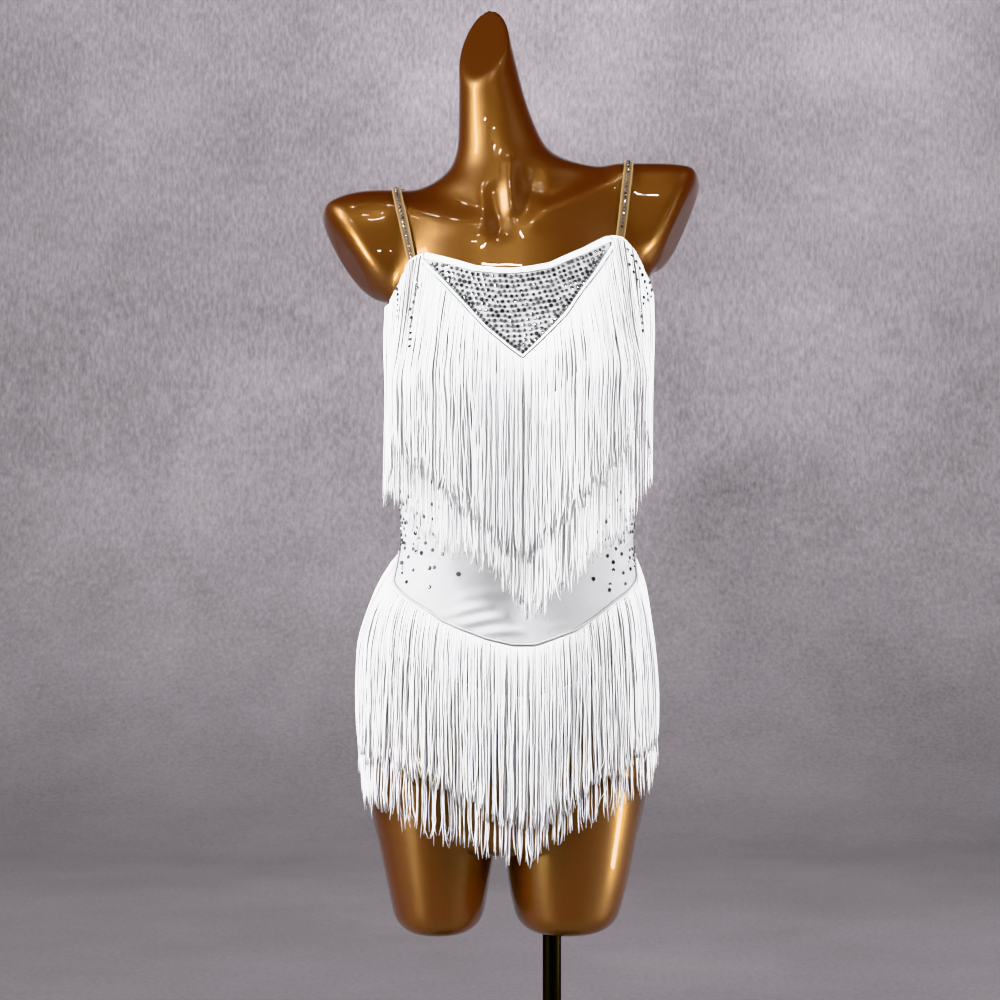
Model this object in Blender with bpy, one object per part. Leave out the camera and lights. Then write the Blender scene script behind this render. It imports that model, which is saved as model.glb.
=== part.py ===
"""A white fringed latin dance dress on a limbless lacquered dress form, with the form's pole and base plate.

Axes: X to the viewer's right, -Y to the front, +Z up, in metres. The origin is the middle of
the base plate's underside, on the pole's axis.

The form is one field: horizontal sections (a superellipse about a middle line, with its own
left, right, front and back reach) are blended by height, and the bust, seat and thighs are
joined to them with rounded unions. The dress is laid on that field: every panel, band and
strip is given by an angle from the front, a height and a distance out from the form, so
what is sewn on a panel is made from that panel's own surface.
"""

import math

import bmesh
import bpy
import numpy as np
from mathutils import Vector
from mathutils.bvhtree import BVHTree

# ---- sizes, in metres ----------------------------------------------------------------
FORM_X = -0.038  # the form's middle line, to the left of the pole
AXIS_Y = 0.0

# sections of the trunk and neck, from low to high:
# height, middle line, left, right, front, back, squareness
TRUNK = (
    (0.4970, -0.0052, -0.1380, 0.1215, -0.0750, 0.0900, 2.30),
    (0.5691, -0.0052, -0.1465, 0.1295, -0.0820, 0.1020, 2.30),
    (0.6102, -0.0052, -0.1480, 0.1345, -0.0880, 0.1100, 2.30),
    (0.6597, -0.0062, -0.1490, 0.1350, -0.0910, 0.1080, 2.30),
    (0.7236, -0.0062, -0.1455, 0.1310, -0.0900, 0.0950, 2.30),
    (0.7648, -0.0031, -0.1360, 0.1265, -0.0870, 0.0820, 2.30),
    (0.7956, 0.0010, -0.1226, 0.1226, -0.0830, 0.0730, 2.30),
    (0.8317, 0.0031, -0.1133, 0.1185, -0.0800, 0.0680, 2.30),
    (0.8780, 0.0041, -0.1150, 0.1205, -0.0830, 0.0720, 2.30),
    (0.9296, 0.0041, -0.1190, 0.1265, -0.0880, 0.0800, 2.40),
    (0.9810, 0.0041, -0.1205, 0.1300, -0.0900, 0.0870, 2.40),
    (1.0326, 0.0041, -0.1215, 0.1330, -0.0900, 0.0910, 2.40),
    (1.0737, 0.0041, -0.1245, 0.1365, -0.0870, 0.0910, 2.40),
    (1.1000, 0.0041, -0.1270, 0.1380, -0.0830, 0.0900, 2.40),
    (1.1300, 0.0021, -0.1250, 0.1360, -0.0730, 0.0860, 2.40),
    (1.1600, 0.0000, -0.1150, 0.1280, -0.0630, 0.0800, 2.30),
    (1.1800, -0.0020, -0.1020, 0.1160, -0.0570, 0.0750, 2.20),
    (1.1950, -0.0040, -0.0880, 0.1030, -0.0520, 0.0700, 2.10),
    (1.2087, -0.0072, -0.0760, 0.0850, -0.0470, 0.0650, 2.00),
    (1.2169, -0.0093, -0.0690, 0.0680, -0.0440, 0.0620, 2.00),
    (1.2241, -0.0113, -0.0645, 0.0520, -0.0420, 0.0585, 2.00),
    (1.2344, -0.0144, -0.0608, 0.0350, -0.0390, 0.0550, 2.00),
    (1.2458, -0.0175, -0.0587, 0.0258, -0.0360, 0.0520, 2.00),
    (1.2643, -0.0216, -0.0582, 0.0144, -0.0330, 0.0480, 2.00),
    (1.2931, -0.0258, -0.0577, 0.0062, -0.0310, 0.0440, 2.00),
    (1.3313, -0.0288, -0.0577, 0.0000, -0.0300, 0.0400, 2.00),
    (1.4240, -0.0319, -0.0577, -0.0093, -0.0300, 0.0380, 2.00),
)
THIGHS = (
    (
        (0.4145, -0.0783, -0.1174, -0.0391, -0.0670, 0.0720, 2.10),
        (0.4702, -0.0793, -0.1288, -0.0288, -0.0720, 0.0800, 2.10),
        (0.5196, -0.0803, -0.1391, -0.0206, -0.0760, 0.0870, 2.10),
        (0.5618, -0.0814, -0.1465, -0.0134, -0.0800, 0.0920, 2.10),
        (0.6102, -0.0814, -0.1480, -0.0082, -0.0860, 0.1000, 2.10),
    ),
    (
        (0.4145, 0.0505, 0.0072, 0.0968, -0.0670, 0.0720, 2.10),
        (0.4516, 0.0525, 0.0000, 0.1071, -0.0700, 0.0780, 2.10),
        (0.4877, 0.0546, -0.0072, 0.1169, -0.0730, 0.0820, 2.10),
        (0.5196, 0.0567, -0.0093, 0.1231, -0.0760, 0.0870, 2.10),
        (0.5618, 0.0618, -0.0041, 0.1298, -0.0800, 0.0920, 2.10),
        (0.6102, 0.0680, 0.0000, 0.1345, -0.0860, 0.1000, 2.10),
    ),
)
# centre, reach, a point of the arm's cut and the way it faces
SHOULDERS = (
    ((-0.1290, 0.010, 1.1400), (0.082, 0.050, 0.058), (-0.2030, 0, 1.1760), (-0.811, -0.242, -0.532)),
    ((0.1310, 0.010, 1.1680), (0.078, 0.050, 0.056), (0.1945, 0, 1.2169), (0.889, -0.199, -0.412)),
)
TRUNK_END = 0.5180  # the trunk alone stops here, between the thighs
THIGH_END = 0.4370  # the thighs' flat ends
THIGH_TOP = 0.6000  # inside the trunk
NECK_CUT = ((-0.0325, 0.004, 1.3480), (-0.78, -1.22, 1.0))  # a point and the way it faces
# centre, reach: rounded masses joined to the trunk
BUST = (
    ((-0.058, -0.060, 0.9860), (0.060, 0.058, 0.062)),
    ((0.066, -0.060, 0.9940), (0.060, 0.058, 0.062)),
)
SEAT = (
    ((-0.068, 0.045, 0.6000), (0.072, 0.075, 0.085)),
    ((0.060, 0.045, 0.6000), (0.072, 0.075, 0.085)),
)


# ---- the form's field ----------------------------------------------------------------
def smooth_curve(xs, ys, x):
    """A monotone cubic through the points: no overshoot between two sections."""
    h = np.diff(xs)
    d = np.diff(ys) / h
    m = np.zeros(len(xs))
    same = d[:-1] * d[1:] > 0
    w1, w2 = 2 * h[1:] + h[:-1], h[1:] + 2 * h[:-1]
    with np.errstate(divide="ignore", invalid="ignore"):
        mid = (w1 + w2) / (w1 / d[:-1] + w2 / d[1:])
    m[1:-1] = np.where(same, mid, 0)
    m[0], m[-1] = d[0], d[-1]
    i = np.clip(np.searchsorted(xs, x) - 1, 0, len(h) - 1)
    t = np.clip((x - xs[i]) / h[i], 0, 1)
    return (
        ys[i] * (2 * t**3 - 3 * t**2 + 1)
        + m[i] * h[i] * (t**3 - 2 * t**2 + t)
        + ys[i + 1] * (3 * t**2 - 2 * t**3)
        + m[i + 1] * h[i] * (t**3 - t**2)
    )


def rounded_union(a, b, k):
    h = np.maximum(k - np.abs(a - b), 0) / k
    return np.minimum(a, b) - h * h * k / 4


def sections(table, x, y, z, middle_y):
    """How far (x, y) is outside the section at height z, along the ray from its middle."""
    t = np.array(table)
    mid, left, right, front, back, n = (
        smooth_curve(t[:, 0], t[:, i], z) for i in range(1, 7)
    )
    dx, dy = x - mid, y - middle_y
    a = np.where(dx < 0, mid - left, right - mid)
    b = np.where(dy < 0, middle_y - front, back - middle_y)
    rho = (np.abs(dx / a) ** n + np.abs(dy / b) ** n + 1e-9) ** (1 / n)
    r = np.sqrt(dx * dx + dy * dy + 1e-10)
    return r - r / rho


def ball(x, y, z, centre, reach):
    q = np.sqrt(
        ((x - centre[0]) / reach[0]) ** 2
        + ((y - centre[1]) / reach[1]) ** 2
        + ((z - centre[2]) / reach[2]) ** 2
    )
    return (q - 1) * min(reach)


def shoulder(x, y, z, centre, reach, cut, way):
    n = 2.7
    q = sum((np.abs((v - c) / r)) ** n for v, c, r in zip((x, y, z), centre, reach)) ** (1 / n)
    side = sum((v - c) * w for v, c, w in zip((x, y, z), cut, way)) / math.hypot(*way)
    return -rounded_union(-(q - 1) * min(reach), -side, 0.018)


def form_field(x, y, z):
    """Below 0 inside the form; x is from the form's middle line."""
    f = sections(TRUNK, x, y, z, 0.008)
    soft = 0.012 + 0.018 * np.clip((z - 1.120) / 0.060, 0, 1)  # tight at the armpit, easy on top
    for parts in SHOULDERS:
        f = rounded_union(f, shoulder(x, y, z, *parts), soft)
    for c, r in BUST:
        f = rounded_union(f, ball(x, y, z, c, r), 0.030)
    for c, r in SEAT:
        f = rounded_union(f, ball(x, y, z, c, r), 0.030)
    f = -rounded_union(-f, z - TRUNK_END, 0.030)
    fold = 0.004 + 0.022 * np.clip(y / 0.050, 0, 1)  # tight in front, easy under the seat
    for table in THIGHS:
        thigh = sections(table, x, y, z, 0.004)
        thigh = -rounded_union(-thigh, z - THIGH_END, 0.022)
        thigh = -rounded_union(-thigh, THIGH_TOP - z, 0.022)
        f = rounded_union(f, thigh, fold)
    (px, py, pz), n = NECK_CUT
    cut = ((x - px) * n[0] + (y - py) * n[1] + (z - pz) * n[2]) / math.hypot(*n)
    return -rounded_union(-f, -cut, 0.014)


# ---- the trunk's radius at every angle and height --------------------------------------
ANGLES = np.radians(np.arange(0, 361, 2.5) - 180)  # 0 is the front, + is the viewer's right
HEIGHTS = np.arange(0.470, 1.1951, 0.005)


def radius_table():
    """The outermost radius of the form about its middle line, 0 where a ray misses it."""
    u, z = np.meshgrid(ANGLES, HEIGHTS, indexing="ij")
    out = np.linspace(0.26, 0.0, 66)
    lo, hi = np.zeros_like(u), np.full_like(u, out[0])
    found = np.zeros(u.shape, bool)
    for r in out[1:]:
        inside = form_field(r * np.sin(u), -r * np.cos(u), z) < 0
        new = inside & ~found
        lo[new] = r
        found |= inside
        hi[~found] = r
    for _ in range(22):
        mid = (lo + hi) / 2
        inside = form_field(mid * np.sin(u), -mid * np.cos(u), z) < 0
        lo, hi = np.where(inside, mid, lo), np.where(inside, hi, mid)
    return np.where(found, (lo + hi) / 2, 0.0)


def spread(table, around, along):
    """The mean over nearby angles and heights."""
    ring, total = table[:-1], 0
    for k in range(-around, around + 1):
        total = total + np.roll(ring, k, axis=0)
    ring = np.pad(total / (2 * around + 1), ((0, 0), (along, along)), mode="edge")
    total = sum(ring[:, k : k + table.shape[1]] for k in range(2 * along + 1)) / (2 * along + 1)
    return np.concatenate([total, total[:1]])


# stretched cloth bridges the form's hollows, and its facets stay clear of the form's swells
BODY = radius_table()
_mean = spread(BODY, 4, 4)
RADIUS = spread(np.maximum(BODY, _mean) + 1.5 * np.maximum(BODY - _mean, 0), 1, 1) + 0.0003
_du = np.gradient(RADIUS, ANGLES, axis=0)
_dz = np.gradient(RADIUS, HEIGHTS, axis=1)
SLANT = np.clip(1 / np.sqrt(1 + (_du / np.maximum(RADIUS, 0.02)) ** 2 + _dz**2), 0.45, 1)


def look_up(table, u, z):
    u = (np.asarray(u, float) + math.pi) % (2 * math.pi)
    i = u / (ANGLES[1] - ANGLES[0])
    j = np.clip((np.asarray(z, float) - HEIGHTS[0]) / 0.005, 0, len(HEIGHTS) - 1.001)
    a, b = np.floor(i).astype(int), np.floor(j).astype(int)
    a = np.minimum(a, len(ANGLES) - 2)
    s, t = i - a, j - b
    return (
        table[a, b] * (1 - s) * (1 - t)
        + table[a + 1, b] * s * (1 - t)
        + table[a, b + 1] * (1 - s) * t
        + table[a + 1, b + 1] * s * t
    )


def reach(u, z, off):
    """Radius at distance `off` outside the form."""
    return look_up(RADIUS, u, z) + off / look_up(SLANT, u, z)


def place(u, z, r):
    u, z, r = np.broadcast_arrays(np.asarray(u, float), z, r)
    return np.stack([FORM_X + r * np.sin(u), AXIS_Y - r * np.cos(u), z], -1)


# ---- the dress's lines: (degrees from the front, height) --------------------------------
NECKLINE = (
    (-56.5, 1.1275),
    (-40, 1.1195),
    (-26.5, 1.1126),
    (-12, 1.1103),
    (-2.4, 1.1097),
    (10, 1.1118),
    (22.8, 1.1155),
    (44.7, 1.1316),
    (58.6, 1.1448),
)
V_LINE = (
    (-56.5, 1.1173),
    (-44.2, 1.0970),
    (-33.5, 1.0773),
    (-16.2, 1.0466),
    (-3.8, 1.0286),
    (4.1, 1.0186),
    (13.8, 1.0354),
    (28.5, 1.0627),
    (45.4, 1.1019),
    (58.6, 1.1316),
)
LEFT_CORNER = (
    (-90, 1.0740),
    (-76.7, 1.0806),
    (-71.6, 1.0888),
    (-68.5, 1.0964),
    (-65.1, 1.1091),
    (-63.1, 1.1215),
    (-60.1, 1.1258),
    (-56.9, 1.1275),
)
RIGHT_CORNER = (
    (59.0, 1.1448),
    (60.9, 1.1456),
    (64.0, 1.1443),
    (67.1, 1.1345),
    (70.1, 1.1229),
    (74.1, 1.1104),
    (82.1, 1.0938),
    (90, 1.0850),
)
BACK_NECK = (
    (90, 1.0850),
    (105, 1.0700),
    (122, 1.0600),
    (138, 1.0530),
    (152, 1.0440),
    (166, 1.0350),
    (180, 1.0310),
    (194, 1.0340),
    (208, 1.0415),
    (222, 1.0490),
    (238, 1.0560),
    (255, 1.0620),
    (270, 1.0740),
)
SEAM = (  # where the skirt joins, all the way round
    (-180, 0.7950),
    (-150, 0.8000),
    (-120, 0.8130),
    (-90, 0.8240),
    (-86, 0.8105),
    (-81.8, 0.7945),
    (-64.1, 0.7802),
    (-49.7, 0.7670),
    (-41.8, 0.7568),
    (-31.7, 0.7487),
    (-17.1, 0.7390),
    (-1.6, 0.7330),
    (11.9, 0.7330),
    (22.5, 0.7390),
    (34.4, 0.7465),
    (47.1, 0.7610),
    (58.9, 0.7754),
    (83.1, 0.7975),
    (86.5, 0.8090),
    (90, 0.8210),
    (120, 0.8120),
    (150, 0.8000),
    (180, 0.7950),
)
LOWER_ROW = (  # the second row of fringe on the chest
    (-86, 1.0620),
    (-72, 1.0700),
    (-57, 1.0640),
    (-43, 1.0400),
    (-23.5, 1.0260),
    (-15, 1.0160),
    (-7.5, 0.9985),
    (1, 0.9840),
    (6, 0.9660),
    (12, 0.9690),
    (25, 1.0010),
    (32, 1.0220),
    (46, 1.0370),
    (60, 1.0680),
    (72, 1.0780),
    (86, 1.0680),
)
LOWER_FALLS = ((-86, 0.1780), (-60, 0.2020), (-45, 0.2050), (45, 0.2050), (60, 0.2020), (86, 0.1820))
SKIRT_BASE_HEM = 0.6450
SKIRT_ROW_DROP = 0.0500  # the skirt's second row, below the seam

GAP = 0.0003
LIE = 0.0005  # under a band, so that its straight facets clear the panel's
CLEAR = 0.0020  # from the form to the cloth
CLOTH = 0.0012
OUT = CLEAR + CLOTH  # the cloth's outer face
BAND = 0.0013  # bands, strips and strands
CHEST_FALL = 0.2000
SKIRT_FALLS = ((-180, 0.1900), (-90, 0.1950), (-60, 0.1800), (60, 0.1800), (90, 0.1950), (180, 0.1900))
CHEST_STRANDS = 32
SKIRT_STRANDS = 50
STRIP = 0.0045

STRAP_WIDTH = 0.0085
STRAP = 0.0012

POLE_R = 0.0095
POLE_TOP = 0.4990
BASE_R = 0.1700
BASE_H = 0.0080
COLLAR_R = 0.0190
COLLAR_TOP = 0.0380


def line(points):
    p = np.array(points)
    return lambda deg: np.interp(deg, p[:, 0], p[:, 1])


neckline, v_line, seam_line, lower_row = line(NECKLINE), line(V_LINE), line(SEAM), line(LOWER_ROW)
back_neck = line(BACK_NECK)
front_top = line(LEFT_CORNER + tuple((d, z - GAP) for d, z in V_LINE) + RIGHT_CORNER)


def seam(deg):
    return seam_line((np.asarray(deg, float) + 180) % 360 - 180)


# ---- building in Blender ----------------------------------------------------------------
for old in list(bpy.data.objects):
    bpy.data.objects.remove(old)
dress = bpy.data.collections.new("fringed_dress_on_form")
bpy.context.scene.collection.children.link(dress)
cutters = bpy.data.collections.new("cutters")
bpy.context.scene.collection.children.link(cutters)


def material(name, colour, metallic=0.0, roughness=0.5):
    m = bpy.data.materials.new(name)
    m.use_nodes = True
    shader = m.node_tree.nodes["Principled BSDF"]
    shader.inputs["Base Color"].default_value = (*colour, 1)
    shader.inputs["Metallic"].default_value = metallic
    shader.inputs["Roughness"].default_value = roughness
    return m


def add(name, verts, faces, mat, where=dress):
    mesh = bpy.data.meshes.new(name)
    mesh.from_pydata([tuple(float(c) for c in v) for v in verts], [], faces)
    bm = bmesh.new()
    bm.from_mesh(mesh)
    bmesh.ops.recalc_face_normals(bm, faces=bm.faces)
    bm.to_mesh(mesh)
    bm.free()
    mesh.validate()
    obj = bpy.data.objects.new(name, mesh)
    where.objects.link(obj)
    if mat:
        mesh.materials.append(mat)
    return obj


def wall(inner, outer, closed=False):
    """A closed wall between two grids of points (columns, rows, 3)."""
    c, r = inner.shape[:2]
    verts = np.concatenate([inner.reshape(-1, 3), outer.reshape(-1, 3)])
    faces, n = [], c * r

    def at(side, i, j):
        return side * n + (i % c) * r + j

    for i in range(c if closed else c - 1):
        for j in range(r - 1):
            faces.append((at(0, i, j), at(0, i, j + 1), at(0, i + 1, j + 1), at(0, i + 1, j)))
            faces.append((at(1, i, j), at(1, i + 1, j), at(1, i + 1, j + 1), at(1, i, j + 1)))
        for j in (0, r - 1):
            a, b = (i, i + 1) if j == 0 else (i + 1, i)
            faces.append((at(0, a, j), at(0, b, j), at(1, b, j), at(1, a, j)))
    if not closed:
        for j in range(r - 1):
            faces.append((at(0, 0, j + 1), at(0, 0, j), at(1, 0, j), at(1, 0, j + 1)))
            faces.append((at(0, c - 1, j), at(0, c - 1, j + 1), at(1, c - 1, j + 1), at(1, c - 1, j)))
    return verts, faces


def panel(name, degrees, low, high, rows, off_in, off_out, mat, closed=False):
    """Cloth over the angles, from height low(angle) to high(angle), in even or given rows."""
    deg = np.asarray(degrees, float)
    t = np.linspace(0, 1, rows + 1) if isinstance(rows, int) else np.array(rows)
    z = low(deg)[:, None] * (1 - t) + high(deg)[:, None] * t
    u = np.radians(deg)[:, None] * np.ones_like(z)
    inner, outer = (place(u, z, reach(u, z, off)) for off in (off_in, off_out))
    return add(name, *wall(inner, outer, closed), mat)


def steps(start, stop, count, *extra):
    """Evenly spaced angles with the given ones put in place of their nearest."""
    d = np.linspace(start, stop, count)
    for e in extra:
        d[np.abs(d - e).argmin()] = e
    return d


def surface(field, low, high, step):
    """Surface nets: one point in each cell the field's zero passes through."""
    axes = [np.arange(a, b + step, step) for a, b in zip(low, high)]
    x, y, z = np.meshgrid(*axes, indexing="ij")
    value = field(x, y, z)
    inside = value < 0
    shape = tuple(s - 1 for s in value.shape)
    total, count = np.zeros(shape + (3,)), np.zeros(shape)
    corner = np.stack([x, y, z], -1)
    for axis in range(3):
        for a in (0, 1):
            for b in (0, 1):
                offset = [0, 0, 0]
                others = [k for k in range(3) if k != axis]
                offset[others[0]], offset[others[1]] = a, b
                one = tuple(slice(o, o + s) for o, s in zip(offset, shape))
                offset[axis] = 1
                two = tuple(slice(o, o + s) for o, s in zip(offset, shape))
                v0, v1 = value[one], value[two]
                cross = (v0 < 0) != (v1 < 0)
                t = np.where(cross, v0 / np.where(cross, v0 - v1, 1), 0)[..., None]
                total += np.where(cross[..., None], corner[one] * (1 - t) + corner[two] * t, 0)
                count += cross
    used = count > 0
    index = np.full(shape, -1)
    index[used] = np.arange(used.sum())
    points = total[used] / count[used][:, None]
    faces = []
    around = {0: ((0, -1, -1), (0, 0, -1), (0, 0, 0), (0, -1, 0)), 1: ((-1, 0, -1), (-1, 0, 0), (0, 0, 0), (0, 0, -1)), 2: ((-1, -1, 0), (0, -1, 0), (0, 0, 0), (-1, 0, 0))}
    for axis in range(3):
        one = [slice(None)] * 3
        two = [slice(None)] * 3
        one[axis], two[axis] = slice(None, -1), slice(1, None)
        a, b = inside[tuple(one)], inside[tuple(two)]
        cells = np.argwhere(a != b)
        flip = b[tuple(cells.T)]
        quad = np.stack([index[tuple((cells + np.array(o)).T)] for o in around[axis]], -1)
        quad[flip] = quad[flip][:, ::-1]
        faces.append(quad)
    faces = np.concatenate(faces)
    e = 1e-4
    for _ in range(3):
        f = field(*points.T)
        g = np.stack([(field(*(points + d).T) - field(*(points - d).T)) / (2 * e) for d in np.eye(3) * e], -1)
        move = -f[:, None] * g / np.maximum((g * g).sum(-1), 0.05)[:, None]
        far = np.linalg.norm(move, axis=1, keepdims=True)
        points = points + move * np.minimum(1, 0.4 * step / np.maximum(far, 1e-9))
    return points, faces


# ---- the form, pole and base -------------------------------------------------------------
lacquer = material("form_lacquer", (0.30, 0.13, 0.03), 0.6, 0.3)
points, faces = surface(form_field, (-0.2163, -0.1447, 0.4213), (0.216, 0.144, 1.410), 0.006)
points[:, 0] += FORM_X
form = add("dress_form", points, [tuple(int(i) for i in f) for f in faces], lacquer)
thin = form.modifiers.new("thin", "DECIMATE")
thin.ratio = 3000 / (2 * len(faces))


def lathe(name, profile, sides, mat, where=dress):
    """A turned body about the pole's axis; profile is (radius, height) from one end to the other."""
    verts, faces = [], []
    for r, z in profile:
        for k in range(sides):
            a = 2 * math.pi * k / sides
            verts.append((r * math.cos(a), r * math.sin(a), z))
    for i in range(len(profile) - 1):
        for k in range(sides):
            n = (k + 1) % sides
            faces.append((i * sides + k, i * sides + n, (i + 1) * sides + n, (i + 1) * sides + k))
    faces.append(tuple(range(sides))[::-1])
    faces.append(tuple(range((len(profile) - 1) * sides, len(profile) * sides)))
    return add(name, verts, faces, mat, where)


bore = lathe("pole_bore", ((POLE_R + 0.0004, 0.400), (POLE_R + 0.0004, POLE_TOP + 0.0006)), 20, None, cutters)
bore.hide_render = True
bore.display_type = "WIRE"
cut = form.modifiers.new("pole_bore", "BOOLEAN")
cut.operation, cut.solver, cut.object = "DIFFERENCE", "EXACT", bore

steel = material("base_steel", (0.045, 0.043, 0.040), 1.0, 0.35)
brass = material("pole_metal", (0.16, 0.12, 0.06), 1.0, 0.35)
lathe(
    "base_plate",
    ((BASE_R - 0.0015, 0.0), (BASE_R, 0.0015), (BASE_R, BASE_H - 0.0035), (BASE_R - 0.0012, BASE_H - 0.0012), (BASE_R - 0.0035, BASE_H)),
    48,
    steel,
)
lathe("pole", ((POLE_R, BASE_H + GAP), (POLE_R, POLE_TOP - 0.001), (POLE_R - 0.001, POLE_TOP)), 24, brass)
inner_r = POLE_R + GAP
ring = ((inner_r, BASE_H + GAP), (COLLAR_R + 0.004, BASE_H + GAP), (COLLAR_R + 0.004, BASE_H + 0.004), (COLLAR_R, BASE_H + 0.009), (COLLAR_R - 0.001, COLLAR_TOP - 0.002), (COLLAR_R - 0.003, COLLAR_TOP), (inner_r, COLLAR_TOP))
sides = 32
verts = [(r * math.cos(2 * math.pi * k / sides), r * math.sin(2 * math.pi * k / sides), z) for k in range(sides) for r, z in ring]
n = len(ring)
faces = [(k * n + i, k * n + (i + 1) % n, ((k + 1) % sides) * n + (i + 1) % n, ((k + 1) % sides) * n + i) for k in range(sides) for i in range(n)]
add("base_collar", verts, faces, steel)

# ---- the dress's panels -------------------------------------------------------------------
white = material("cloth_white", (0.80, 0.80, 0.81), 0.0, 0.75)
trim = material("trim_white", (0.84, 0.84, 0.85), 0.0, 0.55)
fringe_white = material("fringe_white", (0.86, 0.86, 0.86), 0.0, 0.6)
nude = material("strap_elastic", (0.42, 0.24, 0.11), 0.0, 0.6)

half_gap = math.degrees(GAP / 2 / 0.125)
yoke_deg = steps(-56.5, 58.6, 19, -33.5, -16.2, 4.1, 13.8, 28.5, 45.4)
panel("front_yoke", yoke_deg, lambda d: v_line(d) + GAP / 2, neckline, 4, CLEAR, OUT, white)
front_deg = np.concatenate(
    [
        [-90 + half_gap, -86, -81.8, -76.7, -71.6, -68.5, -65.1, -63.1, -60.1, -56.9],
        yoke_deg,
        [59.0, 60.9, 64.0, 67.1, 70.1, 74.1, 78, 82.1, 86.5, 90 - half_gap],
    ]
)
panel("front_panel", front_deg, lambda d: seam(d) + GAP / 2, lambda d: front_top(d) - GAP / 2, (0, 0.12, 0.26, 0.40, 0.50, 0.58, 0.65, 0.72, 0.79, 0.86, 0.93, 1), CLEAR, OUT, white)
back_deg = steps(90 + half_gap, 270 - half_gap, 21, 105, 145, 152, 166, 180, 194, 208, 215, 255)
panel("back_panel", back_deg, lambda d: seam(d) + GAP / 2, back_neck, 9, CLEAR, OUT, white)
for name, degrees in (("skirt_base_front", front_deg), ("skirt_base_back", back_deg)):
    panel(name, degrees, lambda d: 0 * d + SKIRT_BASE_HEM, lambda d: seam(d) - GAP / 2, 4, CLEAR, OUT, white)


def tree_of(names):
    verts, faces = [], []
    for name in names:
        mesh = bpy.data.objects[name].data
        faces += [[len(verts) + i for i in f.vertices] for f in mesh.polygons]
        verts += [v.co.copy() for v in mesh.vertices]
    return BVHTree.FromPolygons(verts, faces)


PANELS = tree_of(("front_yoke", "front_panel", "back_panel", "skirt_base_front", "skirt_base_back"))


def cloth_radius(u, z, more=()):
    """The outer face of the panels as they are built, facets and all, and of any other trees."""
    u, z = np.broadcast_arrays(np.asarray(u, float), z)
    out = np.array(reach(u, z, OUT), float)
    for i in np.ndindex(out.shape):
        s, c = math.sin(u[i]), math.cos(u[i])
        for tree in (PANELS, *more):
            hit = tree.ray_cast(Vector((FORM_X + 0.3 * s, AXIS_Y - 0.3 * c, z[i])), Vector((-s, c, 0)), 0.27)[3]
            if hit is not None:
                out[i] = max(out[i], 0.3 - hit)
    return out


def settled(deg, z):
    """Radii that keep a straight-edged band just off the cloth, between its corners too."""
    u = np.radians(deg)
    r = cloth_radius(u, z) + LIE
    for _ in range(4):
        for t in (0.25, 0.5, 0.75):
            a, b = u[:-1] * (1 - t) + u[1:] * t, z[:-1] * (1 - t) + z[1:] * t
            short = np.maximum(cloth_radius(a, b) + LIE - (r[:-1] * (1 - t) + r[1:] * t) * np.cos((u[1:] - u[:-1]) / 2 * (1 - abs(2 * t - 1))), 0)
            r[:-1] += short * 0.7
            r[1:] += short * 0.7
    return r


def band(name, degrees, low, high, thick, mat, closed=False):
    deg = np.asarray(degrees, float)
    ends = []
    for height in (low(deg), high(deg)):
        if closed:
            around = np.concatenate([deg, deg[:1] + 360])
            r = settled(around, np.concatenate([height, height[:1]]))
            r[0] = max(r[0], r[-1])
            ends.append(r[:-1])
        else:
            ends.append(settled(deg, height))
    r = np.stack(ends, 1)
    z = np.stack([low(deg), high(deg)], 1)
    u = np.radians(deg)[:, None] + 0 * z
    return add(name, *wall(place(u, z, r), place(u, z, r + thick), closed), mat)


band("neck_binding", yoke_deg, lambda d: neckline(d) - 0.0062, lambda d: neckline(d) - 0.0002, 0.0008, trim)
band("v_piping", np.concatenate([[-55.9], yoke_deg[1:-1], [58.0]]), lambda d: v_line(d) + 0.0006, lambda d: v_line(d) + 0.0036, 0.0020, trim)
band("skirt_piping", np.concatenate([front_deg, back_deg]), lambda d: seam(d) + 0.0006, lambda d: seam(d) + 0.0034, 0.0020, trim, closed=True)


# ---- fringe ------------------------------------------------------------------------------
def fall(across, root, tip, levels, ease, lean, under):
    """Radii of a strand's inner face: it lies on what is under it, then hangs."""
    fine = np.linspace(root, tip, 50)
    eased = np.clip((root - fine) / 0.008, 0, 1)
    need = np.max([cloth_radius(math.radians(d), fine, under) for d in across], axis=0) + 0.0007 + ease * eased
    for i in range(1, len(need)):
        need[i] = max(need[i], need[i - 1] - lean * (fine[i - 1] - fine[i]))
    r = np.interp(-levels, -fine, need)
    for _ in range(14):
        short = need - np.interp(-fine, -levels, r)
        if short.max() < 1e-5:
            break
        for k in range(1, len(levels)):
            near = (fine <= levels[k - 1] + 1e-9) & (fine >= levels[k] - 1e-9)
            lack = max(0, short[near].max()) if near.any() else 0
            if k < len(levels) - 1:
                r[k] += lack * 0.7
            if k > 1:
                r[k - 1] += lack * 0.4
    r[-1] = max(need[-1], r[-2] - max(lean, 0.01) * (levels[-2] - levels[-1]))
    return r


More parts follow.
